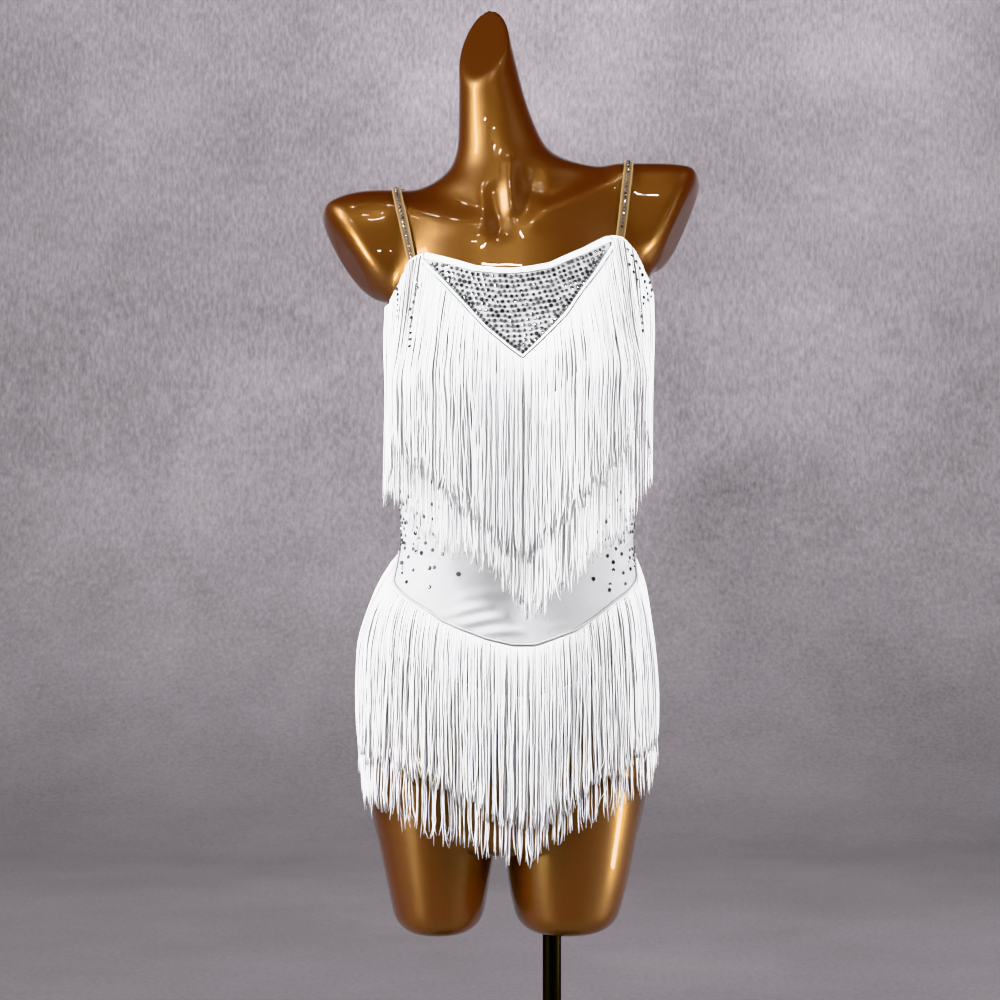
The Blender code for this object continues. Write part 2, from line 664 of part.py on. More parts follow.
def fringe(name, start, stop, count, root, drop, ease, lean, shape, under=(), closed=False):
    """A backing strip with its strands drawn down out of its lower face: one body."""
    pitch = (stop - start) / count
    share = 0.60
    verts, faces = [], []

    def put(deg, z, r):
        verts.append(place(math.radians(deg), z, r).tolist())
        return len(verts) - 1

    def rung(deg, top):
        """Outer then inner corner of the strip at its top or lower edge."""
        z = float(root(deg)) - (0 if top else STRIP)
        near = np.radians(deg + pitch * np.linspace(-0.35, 0.35, 5))
        beside = float(root(deg + pitch * 0.35)), float(root(deg - pitch * 0.35))
        lift = abs(beside[0] - beside[1]) * 0.10  # a steep run of the row crosses more facets
        r = max(float(cloth_radius(near, z + d).max()) for d in (-lift * 8, 0, lift * 8)) + 0.0011 + lift
        return put(deg, z, r + BAND), put(deg, z, r)

    lows, tops = [], []
    for k in range(count):
        a = start + (k + (1 - share) / 2) * pitch
        b = a + share * pitch
        lows.append((a, b, rung(a, False), rung(b, False)))
        tops.append((rung(start + k * pitch, True), rung(start + k * pitch, False)))
    if not closed:
        tops.append((rung(stop, True), rung(stop, False)))
    for k in range(count):
        a, b, (ao, ai), (bo, bi) = lows[k]
        (to, ti), (lo, li) = tops[k]
        (no, ni), (mo, mi) = tops[(k + 1) % len(tops)]
        faces.append((to, lo, ao, bo, mo, no))
        faces.append((ti, ni, mi, bi, ai, li))
        faces.append((to, no, ni, ti))
        faces.append((lo, li, ai, ao))
        faces.append((bo, bi, mi, mo))
        tip = float(drop((a + b) / 2)) * (1 - 0.02 * ((k * 37) % 5) / 4)
        ring = (ao, ai, bi, bo)
        za, zb = float(root(a)) - STRIP, float(root(b)) - STRIP
        end = (za + zb) / 2 + STRIP - tip
        la, lb = (z0 - (z0 - end) * np.array(shape) for z0 in (za, zb))
        across = np.linspace(a - 0.1 * pitch, b + 0.1 * pitch, 5)
        ra = fall(across, za, end, la, ease, lean, under)
        rb = fall(across, zb, end, lb, ease, lean, under)
        for s in range(1, len(shape)):
            new = (put(a, la[s], ra[s] + BAND), put(a, la[s], ra[s]), put(b, lb[s], rb[s]), put(b, lb[s], rb[s] + BAND))
            for i in range(4):
                j = (i + 1) % 4
                faces.append((ring[i], ring[j], new[j], new[i]))
            ring = new
        faces.append(ring)
    if not closed:
        (to, ti), (lo, li) = tops[0]
        faces.append((to, ti, li, lo))
        (to, ti), (lo, li) = tops[-1]
        faces.append((to, lo, li, ti))
    return add(name, verts, faces, fringe_white)


fringe("chest_fringe_lower", -84, 84, CHEST_STRANDS, lower_row, line(LOWER_FALLS), 0, 0.02, (0, 0.14, 0.40, 1))
fringe("skirt_fringe_lower", -180, 180, SKIRT_STRANDS, lambda d: seam(d) - SKIRT_ROW_DROP, line(SKIRT_FALLS), 0, 0.08, (0, 0.25, 0.5, 1), (), True)
lower = [tree_of(("chest_fringe_lower", "skirt_fringe_lower"))]
fringe("chest_fringe_upper", -85, 86, CHEST_STRANDS, lambda d: front_top(d) - 0.0008, lambda d: CHEST_FALL + 0 * d, 0.0018, 0.02, (0, 0.05, 0.14, 0.34, 1), lower)
fringe("skirt_fringe_upper", -180, 180, SKIRT_STRANDS, lambda d: seam(d) - 0.0008, line(SKIRT_FALLS), 0.0008, 0.08, (0, 0.12, 0.30, 0.55, 1), lower, True)


# ---- straps --------------------------------------------------------------------------------
def strap(name, front, top, back):
    """An elastic over the shoulder; each place is (x, angle up from the back, height of pivot)."""
    count = 21
    t = np.linspace(0, 1, count)
    keys = np.array((0, 0.5, 1))
    ways = [np.interp(t, keys, (front[i], top[i], back[i])) for i in range(3)]
    x = ways[0]
    angle = np.radians(ways[1])
    dy, dz = np.cos(angle), np.sin(angle)
    lo, hi = np.zeros(count), np.full(count, 0.20)
    for _ in range(30):
        mid = (lo + hi) / 2
        inside = form_field(x, 0.010 + mid * dy, ways[2] + mid * dz) < 0
        lo, hi = np.where(inside, mid, lo), np.where(inside, hi, mid)
    p = np.stack([x, 0.010 + lo * dy, ways[2] + lo * dz], -1)
    e = 1e-3
    g = np.stack([form_field(*(p + d).T) - form_field(*(p - d).T) for d in np.eye(3) * e], -1)
    for _ in range(3):
        g[1:-1] = (g[:-2] + g[1:-1] * 2 + g[2:]) / 4
    normal = g / np.linalg.norm(g, axis=1, keepdims=True)
    along = np.gradient(p, axis=0)
    along /= np.linalg.norm(along, axis=1, keepdims=True)
    side = np.cross(along, normal)
    side /= np.linalg.norm(side, axis=1, keepdims=True)
    travelled = np.concatenate([[0], np.cumsum(np.linalg.norm(np.diff(p, axis=0), axis=1))])
    off = 0.0022
    for run, over in ((travelled, OUT + 0.0030), (travelled[-1] - travelled, OUT + 0.0028)):
        raised = 1 - np.clip((run - 0.018) / 0.014, 0, 1)
        off = off + (over - 0.0022) * raised * raised * (3 - 2 * raised)
    p[:, 0] += FORM_X
    half = STRAP_WIDTH / 2
    inner = np.stack([p + normal * off[:, None] + side * s for s in (-half, half)], 1)
    outer = inner + (normal * STRAP)[:, None]
    return add(name, *wall(inner, outer), nude)


strap("strap_left", (-0.1000, 213, 1.160), (-0.1205, 90, 1.150), (-0.0560, -61, 1.160))
strap("strap_right", (0.1060, 201, 1.170), (0.1165, 90, 1.160), (0.0560, -62, 1.165))
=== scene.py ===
"""White fringed latin dance dress on a lacquered dress form: the finished, visible model.

The sections follow the order of assembly: the stand, the form, the cloth panels, the trims, the
fringe, the straps, the stones, and last the room and its light. Heights are above the floor.
Angles run round the form's own middle line from its front, and are positive towards +X.
"""

import math

import bpy
import numpy as np
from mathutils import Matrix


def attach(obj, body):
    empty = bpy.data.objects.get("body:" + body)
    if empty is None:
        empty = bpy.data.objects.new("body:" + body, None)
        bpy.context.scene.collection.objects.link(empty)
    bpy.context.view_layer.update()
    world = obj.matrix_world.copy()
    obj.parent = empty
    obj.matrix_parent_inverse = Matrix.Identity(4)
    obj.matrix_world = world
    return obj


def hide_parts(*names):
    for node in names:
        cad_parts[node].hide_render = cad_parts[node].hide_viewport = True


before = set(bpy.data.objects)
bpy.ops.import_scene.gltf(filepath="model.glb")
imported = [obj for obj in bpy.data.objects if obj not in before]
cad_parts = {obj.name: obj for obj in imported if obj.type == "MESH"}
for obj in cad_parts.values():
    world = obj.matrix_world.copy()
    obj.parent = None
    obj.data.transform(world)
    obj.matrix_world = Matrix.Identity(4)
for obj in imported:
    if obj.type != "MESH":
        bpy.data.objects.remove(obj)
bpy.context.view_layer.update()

# ========================================
# The stand: a round steel plate with a short socket welded on, both in dark satin powder
# coat, and a plated steel tube that stands in the socket and runs up into one thigh.
# ========================================
POLE_RADIUS, POLE_TOP = 0.0095, 0.4990
PLATE_RADIUS, PLATE_TOP = 0.1700, 0.0080
SOCKET_RADIUS, SOCKET_TOP = 0.0190, 0.0380
SEAT = 0.0003  # between the tube, the socket and the plate


def meshed(name, points, faces, finish, uv=None, smooth=True, crease=None, floats=()):
    """A mesh object from whole arrays of points, faces and per-point texture coordinates."""
    mesh = bpy.data.meshes.new(name)
    mesh.from_pydata(np.asarray(points).reshape(-1, 3), [], faces)
    mesh.polygons.foreach_set("use_smooth", np.full(len(mesh.polygons), smooth))
    if uv is not None:
        corners = np.empty(len(mesh.loops), np.int32)
        mesh.loops.foreach_get("vertex_index", corners)
        uv = np.asarray(uv, np.float32).reshape(-1, 2)[corners].ravel()
        mesh.uv_layers.new(name="UVMap").data.foreach_set("uv", uv)
    for label, values in floats:
        values = np.asarray(values, np.float32).ravel()
        mesh.attributes.new(label, "FLOAT", "POINT").data.foreach_set("value", values)
    if crease is not None:
        mesh.set_sharp_from_angle(angle=math.radians(crease))
    mesh.update()
    mesh.materials.append(finish)
    obj = bpy.data.objects.new(name, mesh)
    bpy.context.scene.collection.objects.link(obj)
    return obj


def piece(name, points, faces, finish, slot, **looks):
    """A mesh object of the dressed form, which is all one body."""
    obj = meshed(name, points, faces, finish, **looks)
    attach(obj, "root")
    return obj


def bodies(rings, closed=False):
    """Closed bodies from rings[body, ring, corner, xyz].

    Ring after ring is joined by a wall, and a strip of quads closes each end, between the
    corners k and last - k. A closed body's last ring joins its first, and it has no ends.
    """
    count, along, around = rings.shape[:3]
    one = np.arange(along * around).reshape(along, around)
    ahead = np.roll(one, -1, axis=0)
    a, b = (one, ahead) if closed else (one[:-1], ahead[:-1])
    walls = [np.stack([a, b, np.roll(b, -1, 1), np.roll(a, -1, 1)], -1).reshape(-1, 4)]
    if not closed:
        k = np.arange(around // 2 - 1)
        for ring in (one[0], one[-1][::-1]):
            walls.append(np.stack([ring[k], ring[k + 1], ring[-2 - k], ring[-1 - k]], -1))
    faces = np.concatenate(walls) + (np.arange(count) * along * around)[:, None, None]
    return rings.reshape(-1, 3), faces.reshape(-1, 4)


def eased(points, radius, count=5):
    """A polyline whose inner corners are quadratic curves that start `radius` before them."""
    p = np.array(points, float)
    before, at, after = p[:-2], p[1:-1], p[2:]
    into, out = at - before, after - at
    size = [np.linalg.norm(v, axis=1, keepdims=True) for v in (into, out)]
    cut = np.minimum(radius, 0.45 * np.minimum(*size))
    start, end = (v[:, None] for v in (at - into / size[0] * cut, at + out / size[1] * cut))
    t = np.linspace(0, 1, count)[None, :, None]
    arc = start * (1 - t) ** 2 + 2 * at[:, None] * t * (1 - t) + end * t**2
    return np.concatenate([p[:1], arc.reshape(-1, 2), p[-1:]])


def turned(name, profile, sides, finish, slot, closed=False):
    """A profile of (radius, height) turned about the pole: x = r cos a, y = r sin a, z = height."""
    r, z = np.array(profile).T
    a = np.arange(sides) * 2 * math.pi / sides
    grid = np.stack([np.outer(np.cos(a), r), np.outer(np.sin(a), r), np.outer(1 + 0 * a, z)], -1)
    one = np.arange(sides * len(r)).reshape(sides, -1)
    ahead = np.roll(one, -1, axis=0)
    faces = np.stack([one, ahead, np.roll(ahead, -1, axis=1), np.roll(one, -1, axis=1)], -1)
    faces = (faces if closed else faces[:, :-1]).reshape(-1, 4).tolist()
    if not closed:
        faces += [one[::-1, 0].tolist(), one[:, -1].tolist()]
    return piece(name, grid, faces, finish, slot, crease=40)


def coated(name, **values):
    """A material with its Principled shader's own sockets set; returns it, its tree and shader."""
    made = bpy.data.materials.new(name)
    made.use_nodes = True
    shader = made.node_tree.nodes["Principled BSDF"]
    for socket, value in values.items():
        shader.inputs[socket.replace("_", " ")].default_value = value
    return made, made.node_tree, shader


def put(tree, kind, inputs=(), **settings):
    """A shader node with its settings; each input is a value or the socket that feeds it."""
    node = tree.nodes.new(kind)
    for key, value in settings.items():
        setattr(node, key, value)
    for key, value in dict(inputs).items():
        if isinstance(value, bpy.types.NodeSocket):
            tree.links.new(value, node.inputs[key])
        else:
            node.inputs[key].default_value = value
    return node


def feed(node, **sources):
    """Links named inputs of a node to the sockets that feed them."""
    for socket, source in sources.items():
        node.id_data.links.new(source, node.inputs[socket.replace("_", " ")])


def between(tree, low, high, by, limits=(0.0, 1.0)):
    """A number that runs from low to high as `by` runs over its limits."""
    ends = {"From Min": limits[0], "From Max": limits[1], "To Min": low, "To Max": high}
    return put(tree, "ShaderNodeMapRange", {"Value": by, **ends}).outputs["Result"]


def shades(tree, low, high, by):
    """A colour between two others, each a value or a socket."""
    low, high = (c if isinstance(c, bpy.types.NodeSocket) else (*c, 1) for c in (low, high))
    mixed = put(tree, "ShaderNodeMix", {"Factor": by, 6: low, 7: high}, data_type="RGBA")
    return mixed.outputs[2]


def clouded(tree, where, scale, detail, **more):
    """A noise pattern's value."""
    inputs = {"Vector": where, "Scale": scale, "Detail": detail, **more}
    return put(tree, "ShaderNodeTexNoise", inputs).outputs["Fac"]


def relief(tree, height, strength, distance, **under):
    """The normal of a fine relief, over another where `under` gives its Normal."""
    inputs = {"Height": height, "Strength": strength, "Distance": distance, **under}
    return put(tree, "ShaderNodeBump", inputs).outputs["Normal"]


def effect(name, inputs, outputs):
    """An empty shader node group with named inputs and outputs."""
    group = bpy.data.node_groups.new(name, "ShaderNodeTree")
    for label, kind, value in inputs:
        socket = group.interface.new_socket(label, in_out="INPUT", socket_type=kind)
        if value is not None:
            socket.default_value = value
    for label, kind in outputs:
        group.interface.new_socket(label, in_out="OUTPUT", socket_type=kind)
    return group, group.nodes.new("NodeGroupInput"), group.nodes.new("NodeGroupOutput")


# Handling marks: broad, faint clouds where a hard surface was wiped.
wiped, given, result = effect(
    "wiped surface",
    [("Vector", "NodeSocketVector", None), ("Size", "NodeSocketFloat", 12.0)],
    [("Clouds", "NodeSocketFloat")],
)
feed(result, Clouds=clouded(wiped, *given.outputs[:2], 4.0, Roughness=0.6))


def wiped_marks(tree, size):
    """The object's own coordinates, and the clouds of the handling marks on them."""
    where = put(tree, "ShaderNodeTexCoord").outputs["Object"]
    marks = put(tree, "ShaderNodeGroup", {"Vector": where, "Size": size}, node_tree=wiped)
    return where, marks.outputs["Clouds"]


powder, tree, shader = coated("base_powder_coat", Specular_IOR_Level=0.5)
where, clouds = wiped_marks(tree, 9.0)
feed(
    shader,
    Base_Color=shades(tree, (0.030, 0.029, 0.028), (0.050, 0.048, 0.046), clouds),
    Roughness=between(tree, 0.38, 0.55, clouds, (0.3, 0.7)),
    Normal=relief(tree, clouded(tree, where, 1400.0, 2.0), 0.25, 0.0002),
)

plated, tree, shader = coated("pole_plating", Metallic=1.0)
where, clouds = wiped_marks(tree, 14.0)
drawn = put(tree, "ShaderNodeMapping", {"Vector": where, "Scale": (900.0, 900.0, 6.0)})
lines = clouded(tree, drawn.outputs["Vector"], 1.0, 3.0)
feed(
    shader,
    Base_Color=shades(tree, (0.012, 0.009, 0.005), (0.024, 0.020, 0.011), clouds),
    Roughness=between(tree, 0.24, 0.44, lines, (0.3, 0.7)),
)

plate_edge = (
    (0.0020, 0.0), (PLATE_RADIUS - 0.0015, 0.0), (PLATE_RADIUS, 0.0015),
    (PLATE_RADIUS, PLATE_TOP - 0.0035), (PLATE_RADIUS - 0.0012, PLATE_TOP - 0.0012),
    (PLATE_RADIUS - 0.0035, PLATE_TOP), (0.0020, PLATE_TOP),
)
base_disc = turned("base_disc", eased(plate_edge, radius=0.0012), 128, powder, "base_steel")
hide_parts("base_plate")

bore, flange = POLE_RADIUS + SEAT, SOCKET_RADIUS + 0.004
socket_wall = (
    (bore, PLATE_TOP + SEAT), (flange, PLATE_TOP + SEAT), (flange, PLATE_TOP + 0.0035),
    (SOCKET_RADIUS + 0.0005, PLATE_TOP + 0.0060), (SOCKET_RADIUS, PLATE_TOP + 0.0100),
    (SOCKET_RADIUS, SOCKET_TOP - 0.0010), (SOCKET_RADIUS - 0.0012, SOCKET_TOP),
    (bore + 0.0010, SOCKET_TOP), (bore, SOCKET_TOP - 0.0010), (bore, PLATE_TOP + 0.0020),
)
base_socket = turned(
    "base_socket", eased(socket_wall, radius=0.0008), 72, powder, "base_steel", closed=True
)
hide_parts("base_collar")

tube_edge = (
    (0.0010, PLATE_TOP + SEAT), (POLE_RADIUS, PLATE_TOP + SEAT), (POLE_RADIUS, POLE_TOP),
    (0.0010, POLE_TOP),
)
pole_tube = turned("pole_tube", eased(tube_edge, radius=0.0008), 64, plated, "pole_metal")
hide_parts("pole")

# ========================================
# The form: a headless, armless half body of glass fibre, cut across the neck, the arms and
# the thighs, sprayed with pearl bronze-gold base, thick clear lacquer on top, and polished.
# ========================================
MIDDLE_X = -0.038  # the form's middle line; the pole stands under one thigh

# sections from low to high: height, middle line, left, right, front and back in tenths of a
# millimetre, and ten times the squareness
SECTION_UNITS = (1e4, 1e4, 1e4, 1e4, 1e4, 1e4, 10)
TRUNK = (
    (4970, -52, -1380, 1215, -750, 900, 23), (5691, -52, -1465, 1295, -820, 1020, 23),
    (6102, -52, -1480, 1345, -880, 1100, 23), (6597, -62, -1490, 1350, -910, 1080, 23),
    (7236, -62, -1455, 1310, -900, 950, 23), (7648, -31, -1360, 1265, -870, 820, 23),
    (7956, 10, -1226, 1226, -830, 730, 23), (8317, 31, -1133, 1185, -800, 680, 23),
    (8780, 41, -1150, 1205, -830, 720, 23), (9296, 41, -1190, 1265, -880, 800, 24),
    (9810, 41, -1205, 1300, -900, 870, 24), (10326, 41, -1215, 1330, -900, 910, 24),
    (10737, 41, -1245, 1365, -870, 910, 24), (11000, 41, -1270, 1380, -830, 900, 24),
    (11300, 21, -1250, 1360, -730, 860, 24), (11600, 0, -1150, 1280, -630, 800, 23),
    (11800, -20, -1020, 1160, -570, 750, 22), (11950, -40, -880, 1030, -520, 700, 21),
    (12087, -72, -760, 930, -470, 650, 20), (12169, -93, -690, 790, -440, 620, 20),
    (12241, -113, -645, 610, -420, 585, 20), (12344, -144, -608, 400, -390, 550, 20),
    (12458, -165, -587, 300, -360, 520, 20), (12643, -190, -580, 208, -330, 480, 20),
    (12931, -235, -577, 103, -310, 440, 20), (13313, -285, -577, 6, -300, 400, 20),
    (13650, -320, -577, -75, -300, 390, 20), (14240, -360, -577, -210, -300, 380, 20),
)
LEFT_THIGH = (
    (4145, -783, -1174, -391, -670, 720, 21), (4702, -793, -1288, -288, -720, 800, 21),
    (5196, -803, -1391, -206, -760, 870, 21), (5618, -814, -1465, -134, -800, 920, 21),
    (6102, -814, -1480, -82, -860, 1000, 21),
)
RIGHT_THIGH = (
    (4145, 505, 72, 968, -670, 720, 21), (4516, 525, 0, 1071, -700, 780, 21),
    (4877, 546, -72, 1169, -730, 820, 21), (5196, 567, -93, 1231, -760, 870, 21),
    (5618, 618, -41, 1298, -800, 920, 21), (6102, 680, 0, 1345, -860, 1000, 21),
)
# each shoulder's centre, reach and squareness; then a point of the arm's cut and the way it faces
SHOULDERS = (
    (
        ((-0.1290, 0.010, 1.1400), (0.082, 0.050, 0.058), 2.7),
        ((-0.2030, 0, 1.1760), (-0.811, -0.242, -0.532)),
    ),
    (
        ((0.1310, 0.010, 1.1685), (0.078, 0.050, 0.056), 3.5),
        ((0.1945, 0, 1.2169), (0.889, -0.199, -0.412)),
    ),
)
TRUNK_END, THIGH_END, THIGH_TOP = 0.5180, 0.4370, 0.6000
NECK_CUT = ((-0.0325, 0.004, 1.3480), (-0.78, -1.22, 1.0))  # a point and the way it faces
ARM_RIM, THIGH_RIM, NECK_RIM = 0.016, 0.022, 0.0050
TRUNK_Y, THIGH_Y = 0.008, 0.004  # the middle of their depth
JOIN = 0.030  # the width of the fillets round the masses and the trunk's lower end
# centre and reach of the rounded masses joined to the trunk: the bust and the buttocks
MASSES = (
    ((-0.058, -0.060, 0.9860), (0.060, 0.058, 0.062)),
    ((0.066, -0.060, 0.9940), (0.060, 0.058, 0.062)),
    ((-0.068, 0.045, 0.6000), (0.072, 0.075, 0.085)),
    ((0.060, 0.045, 0.6000), (0.072, 0.075, 0.085)),
)
# soft ridges and hollows of the upper chest: x and z of the points of a line, width, height
BONES = (
    (((-0.1180, 1.1760), (-0.0761, 1.1600), (-0.0300, 1.1560)), 0.0120, 0.0030),  # collarbones
    (((0.1080, 1.2080), (0.0560, 1.1780), (0.0180, 1.1620)), 0.0120, 0.0032),
    (((-0.1000, 1.1930), (-0.0500, 1.1800)), 0.0150, -0.0034),  # the hollows above them
    (((0.0180, 1.1950), (0.0340, 1.1900), (0.0850, 1.2120)), 0.0140, -0.0058),
    (((-0.0215, 1.1880), (-0.0185, 1.1640), (-0.0165, 1.1520)), 0.0108, -0.0050),  # the throat
    (((0.0130, 1.2050), (0.0125, 1.1690)), 0.0128, -0.0030),
    (((-0.0050, 1.2180), (-0.0040, 1.1720)), 0.0075, 0.0034),  # the tendon between them
    (((-0.0170, 1.1420), (-0.0160, 1.1100)), 0.0160, -0.0012),  # the breastbone's groove
)


def smooth_curve(xs, ys, x):
    """A monotone cubic through the points: no overshoot between two sections."""
    h = np.diff(xs)
    d = np.diff(ys) / h
    m = np.zeros(len(xs))
    same = d[:-1] * d[1:] > 0
    w1, w2 = 2 * h[1:] + h[:-1], h[1:] + 2 * h[:-1]
    with np.errstate(divide="ignore", invalid="ignore"):
        m[1:-1] = np.where(same, (w1 + w2) / (w1 / d[:-1] + w2 / d[1:]), 0)
    m[0], m[-1] = d[0], d[-1]
    i = np.clip(np.searchsorted(xs, x) - 1, 0, len(h) - 1)
    t = np.clip((x - xs[i]) / h[i], 0, 1)
    return (
        ys[i] * (2 * t**3 - 3 * t**2 + 1)
        + m[i] * h[i] * (t**3 - 2 * t**2 + t)
        + ys[i + 1] * (3 * t**2 - 2 * t**3)
        + m[i + 1] * h[i] * (t**3 - t**2)
    )


def ladder(table):
    """The sections read every millimetre and averaged over a bell 6 mm wide, as polishing does."""
    t = np.array(table) / SECTION_UNITS
    z = np.arange(t[0, 0] - 0.030, t[-1, 0] + 0.030, 0.001)
    bell = np.exp(-((np.arange(-18, 19) / 6.0) ** 2) / 2)
    bell /= bell.sum()
    rows = [smooth_curve(t[:, 0], t[:, i], z) for i in range(1, 7)]
    return z, [np.convolve(np.pad(row, 18, mode="edge"), bell, mode="valid") for row in rows]


TRUNK_ROWS, THIGH_ROWS = ladder(TRUNK), [ladder(LEFT_THIGH), ladder(RIGHT_THIGH)]


def rounded_union(a, b, k):
    """The lower of two fields, with a fillet about k wide where they meet."""
    h = np.maximum(k - np.abs(a - b), 0) / k
    return np.minimum(a, b) - h * h * k / 4


def section_field(rows, x, y, z, middle_y):
    """r - r / rho, where rho is the superellipse radius (|dx/a|^n + |dy/b|^n)^(1/n) at height z."""
    mid, left, right, front, back, n = (np.interp(z, rows[0], row) for row in rows[1])
    dx, dy = x - mid, y - middle_y
    a = np.where(dx < 0, mid - left, right - mid)
    b = np.where(dy < 0, middle_y - front, back - middle_y)
    rho = (np.abs(dx / a) ** n + np.abs(dy / b) ** n + 1e-9) ** (1 / n)
    r = np.sqrt(dx * dx + dy * dy + 1e-10)
    return r - r / rho


def mass_field(x, y, z, centre, reach, n=2.0):
    """(q - 1) times the least reach, where q is the superellipsoid radius of power n."""
    q = sum(np.abs((v - c) / r) ** n for v, c, r in zip((x, y, z), centre, reach)) ** (1 / n)
    return (q - 1) * min(reach)


def rounded_cut(a, b, k):
    """What both fields hold, with a rounded edge about k wide."""
    return -rounded_union(-a, -b, k)


def cut_off(field, point, way, rim, x, y, z):
    """The field with all past a plane taken away, its rim rounded."""
    far = sum((v - p) * w for v, p, w in zip((x, y, z), point, way)) / math.hypot(*way)
    return rounded_cut(field, far, rim)


def form_field(x, y, z):
    """Below 0 inside the form; x is from the form's middle line."""
    f = section_field(TRUNK_ROWS, x, y, z, TRUNK_Y)
    soft = 0.012 + 0.018 * np.clip((z - 1.120) / 0.060, 0, 1)  # tight at the armpit, easy on top
    for shoulder, cut in SHOULDERS:
        arm = cut_off(mass_field(x, y, z, *shoulder), *cut, ARM_RIM, x, y, z)
        f = rounded_union(f, arm, soft)
    for mass in MASSES:
        f = rounded_union(f, mass_field(x, y, z, *mass), JOIN)
    f = rounded_cut(f, TRUNK_END - z, JOIN)
    fold = 0.003 + 0.022 * np.clip(y / 0.050, 0, 1)  # tight in front, easy under the seat
    for rows in THIGH_ROWS:
        thigh = rounded_cut(section_field(rows, x, y, z, THIGH_Y), THIGH_END - z, THIGH_RIM)
        f = rounded_union(f, rounded_cut(thigh, z - THIGH_TOP, THIGH_RIM), fold)
    return cut_off(f, *NECK_CUT, NECK_RIM, x, y, z)


def bones(x, y, z):
    """How far the chest is raised: each line gives height * exp(-(distance to it / width)^2)."""
    total = 0.0
    for line_points, width, height in BONES:
        away = np.inf
        for (x0, z0), (x1, z1) in zip(line_points, line_points[1:]):
            dx, dz = x1 - x0, z1 - z0
            t = np.clip(((x - x0) * dx + (z - z0) * dz) / (dx * dx + dz * dz), 0, 1)
            away = np.minimum(away, (x - x0 - t * dx) ** 2 + (z - z0 - t * dz) ** 2)
        total = total + height * np.exp(-away / width**2)
    return total * np.clip((0.004 - y) / 0.030, 0, 1)  # fading out before the sides


def polished_field(x, y, z):
    """The form with its chest's relief."""
    return form_field(x, y, z) - bones(x, y, z)


def slope(field, points, step):
    """The field's gradient by central differences."""
    ways = np.eye(3) * step
    rise = [field(*(points + way).T) - field(*(points - way).T) for way in ways]
    return np.stack([d / (2 * step) for d in rise], -1)


def unit(v):
    """Each row of an array brought to length 1."""
    return v / np.linalg.norm(v, axis=1, keepdims=True)


def moulded(field, low, high, step, slab=24):
    """Surface nets: one point in each cell that the field's zero crosses, moved onto the zero."""
    axes = [np.arange(a, b + step, step) for a, b in zip(low, high)]
    value = np.empty([len(a) for a in axes])
    for k in range(0, value.shape[2], slab):  # slabs keep the arrays small
        x, y, z = np.meshgrid(axes[0], axes[1], axes[2][k : k + slab], indexing="ij")
        value[:, :, k : k + slab] = field(x, y, z)
    inside = value < 0
    cells = tuple(s - 1 for s in value.shape)
    total, count = np.zeros(cells + (3,)), np.zeros(cells, np.int8)
    for axis, ahead in enumerate(np.eye(3, dtype=int)):
        for corner in np.ndindex(2, 2):
            start = np.insert(corner, axis, 0)
            one, two = (
                tuple(slice(o, o + s) for o, s in zip(at, cells)) for at in (start, start + ahead)
            )
            at = np.argwhere(inside[one] != inside[two])
            key = tuple(at.T)
            v0, v1 = value[one][key], value[two][key]
            edge = (at + start).astype(float)
            edge[:, axis] += v0 / (v0 - v1)
            total[key] += edge
            count[key] += 1
    used = count > 0
    index = np.full(cells, -1)
    index[used] = np.arange(used.sum())
    points = total[used] / count[used][:, None] * step + np.array(low)
    around = (
        ((0, -1, -1), (0, 0, -1), (0, 0, 0), (0, -1, 0)),
        ((-1, 0, -1), (-1, 0, 0), (0, 0, 0), (0, 0, -1)),
        ((-1, -1, 0), (0, -1, 0), (0, 0, 0), (-1, 0, 0)),
    )
    faces = []
    for axis, ahead in enumerate(np.eye(3, dtype=int)):
        at = np.argwhere(np.diff(inside, axis=axis))
        quad = np.stack([index[tuple((at + np.array(o)).T)] for o in around[axis]], -1)
        flip = inside[tuple((at + ahead).T)]
        quad[flip] = quad[flip][:, ::-1]
        faces.append(quad)
    for _ in range(3):  # Newton's steps, none longer than 0.4 of a cell
        g = slope(field, points, 2e-4)
        move = -field(*points.T)[:, None] * g / np.maximum((g * g).sum(-1), 0.05)[:, None]
        far = np.linalg.norm(move, axis=1, keepdims=True)
        points = points + move * np.minimum(1, 0.4 * step / np.maximum(far, 1e-9))
    return points, np.concatenate(faces)


lacquer, tree, shader = coated(
    "form_lacquer",
    Coat_Weight=1.0,
    Coat_Roughness=0.02,
    Coat_IOR=1.5,
    IOR=3.2,
    Specular_Tint=(1.0, 0.60, 0.20, 1.0),
)
where, clouds = wiped_marks(tree, 7.0)
pearl = put(tree, "ShaderNodeTexVoronoi", {"Vector": where, "Scale": 1300.0}, feature="F1")
bronze = shades(tree, (0.046, 0.0075, 0.0034), (0.060, 0.0105, 0.0044), clouds)
flake = between(tree, 0.0, 0.09, pearl.outputs["Color"], (0.55, 0.95))
feed(
    shader,
    Base_Color=shades(tree, bronze, (0.40, 0.17, 0.045), flake),
    Roughness=between(tree, 0.33, 0.39, clouds, (0.3, 0.7)),
)

cell = 0.0031
box = (-0.2163, -0.1447, 0.4213), (0.216, 0.144, 1.410)
points, faces = moulded(polished_field, *box, cell)
normals = unit(slope(polished_field, points, 1.5e-3))
form_body = piece("form_body", points + [MIDDLE_X, 0, 0], faces, lacquer, "form_lacquer")
form_body.data.normals_split_custom_set_from_vertices(normals)
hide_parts("dress_form")

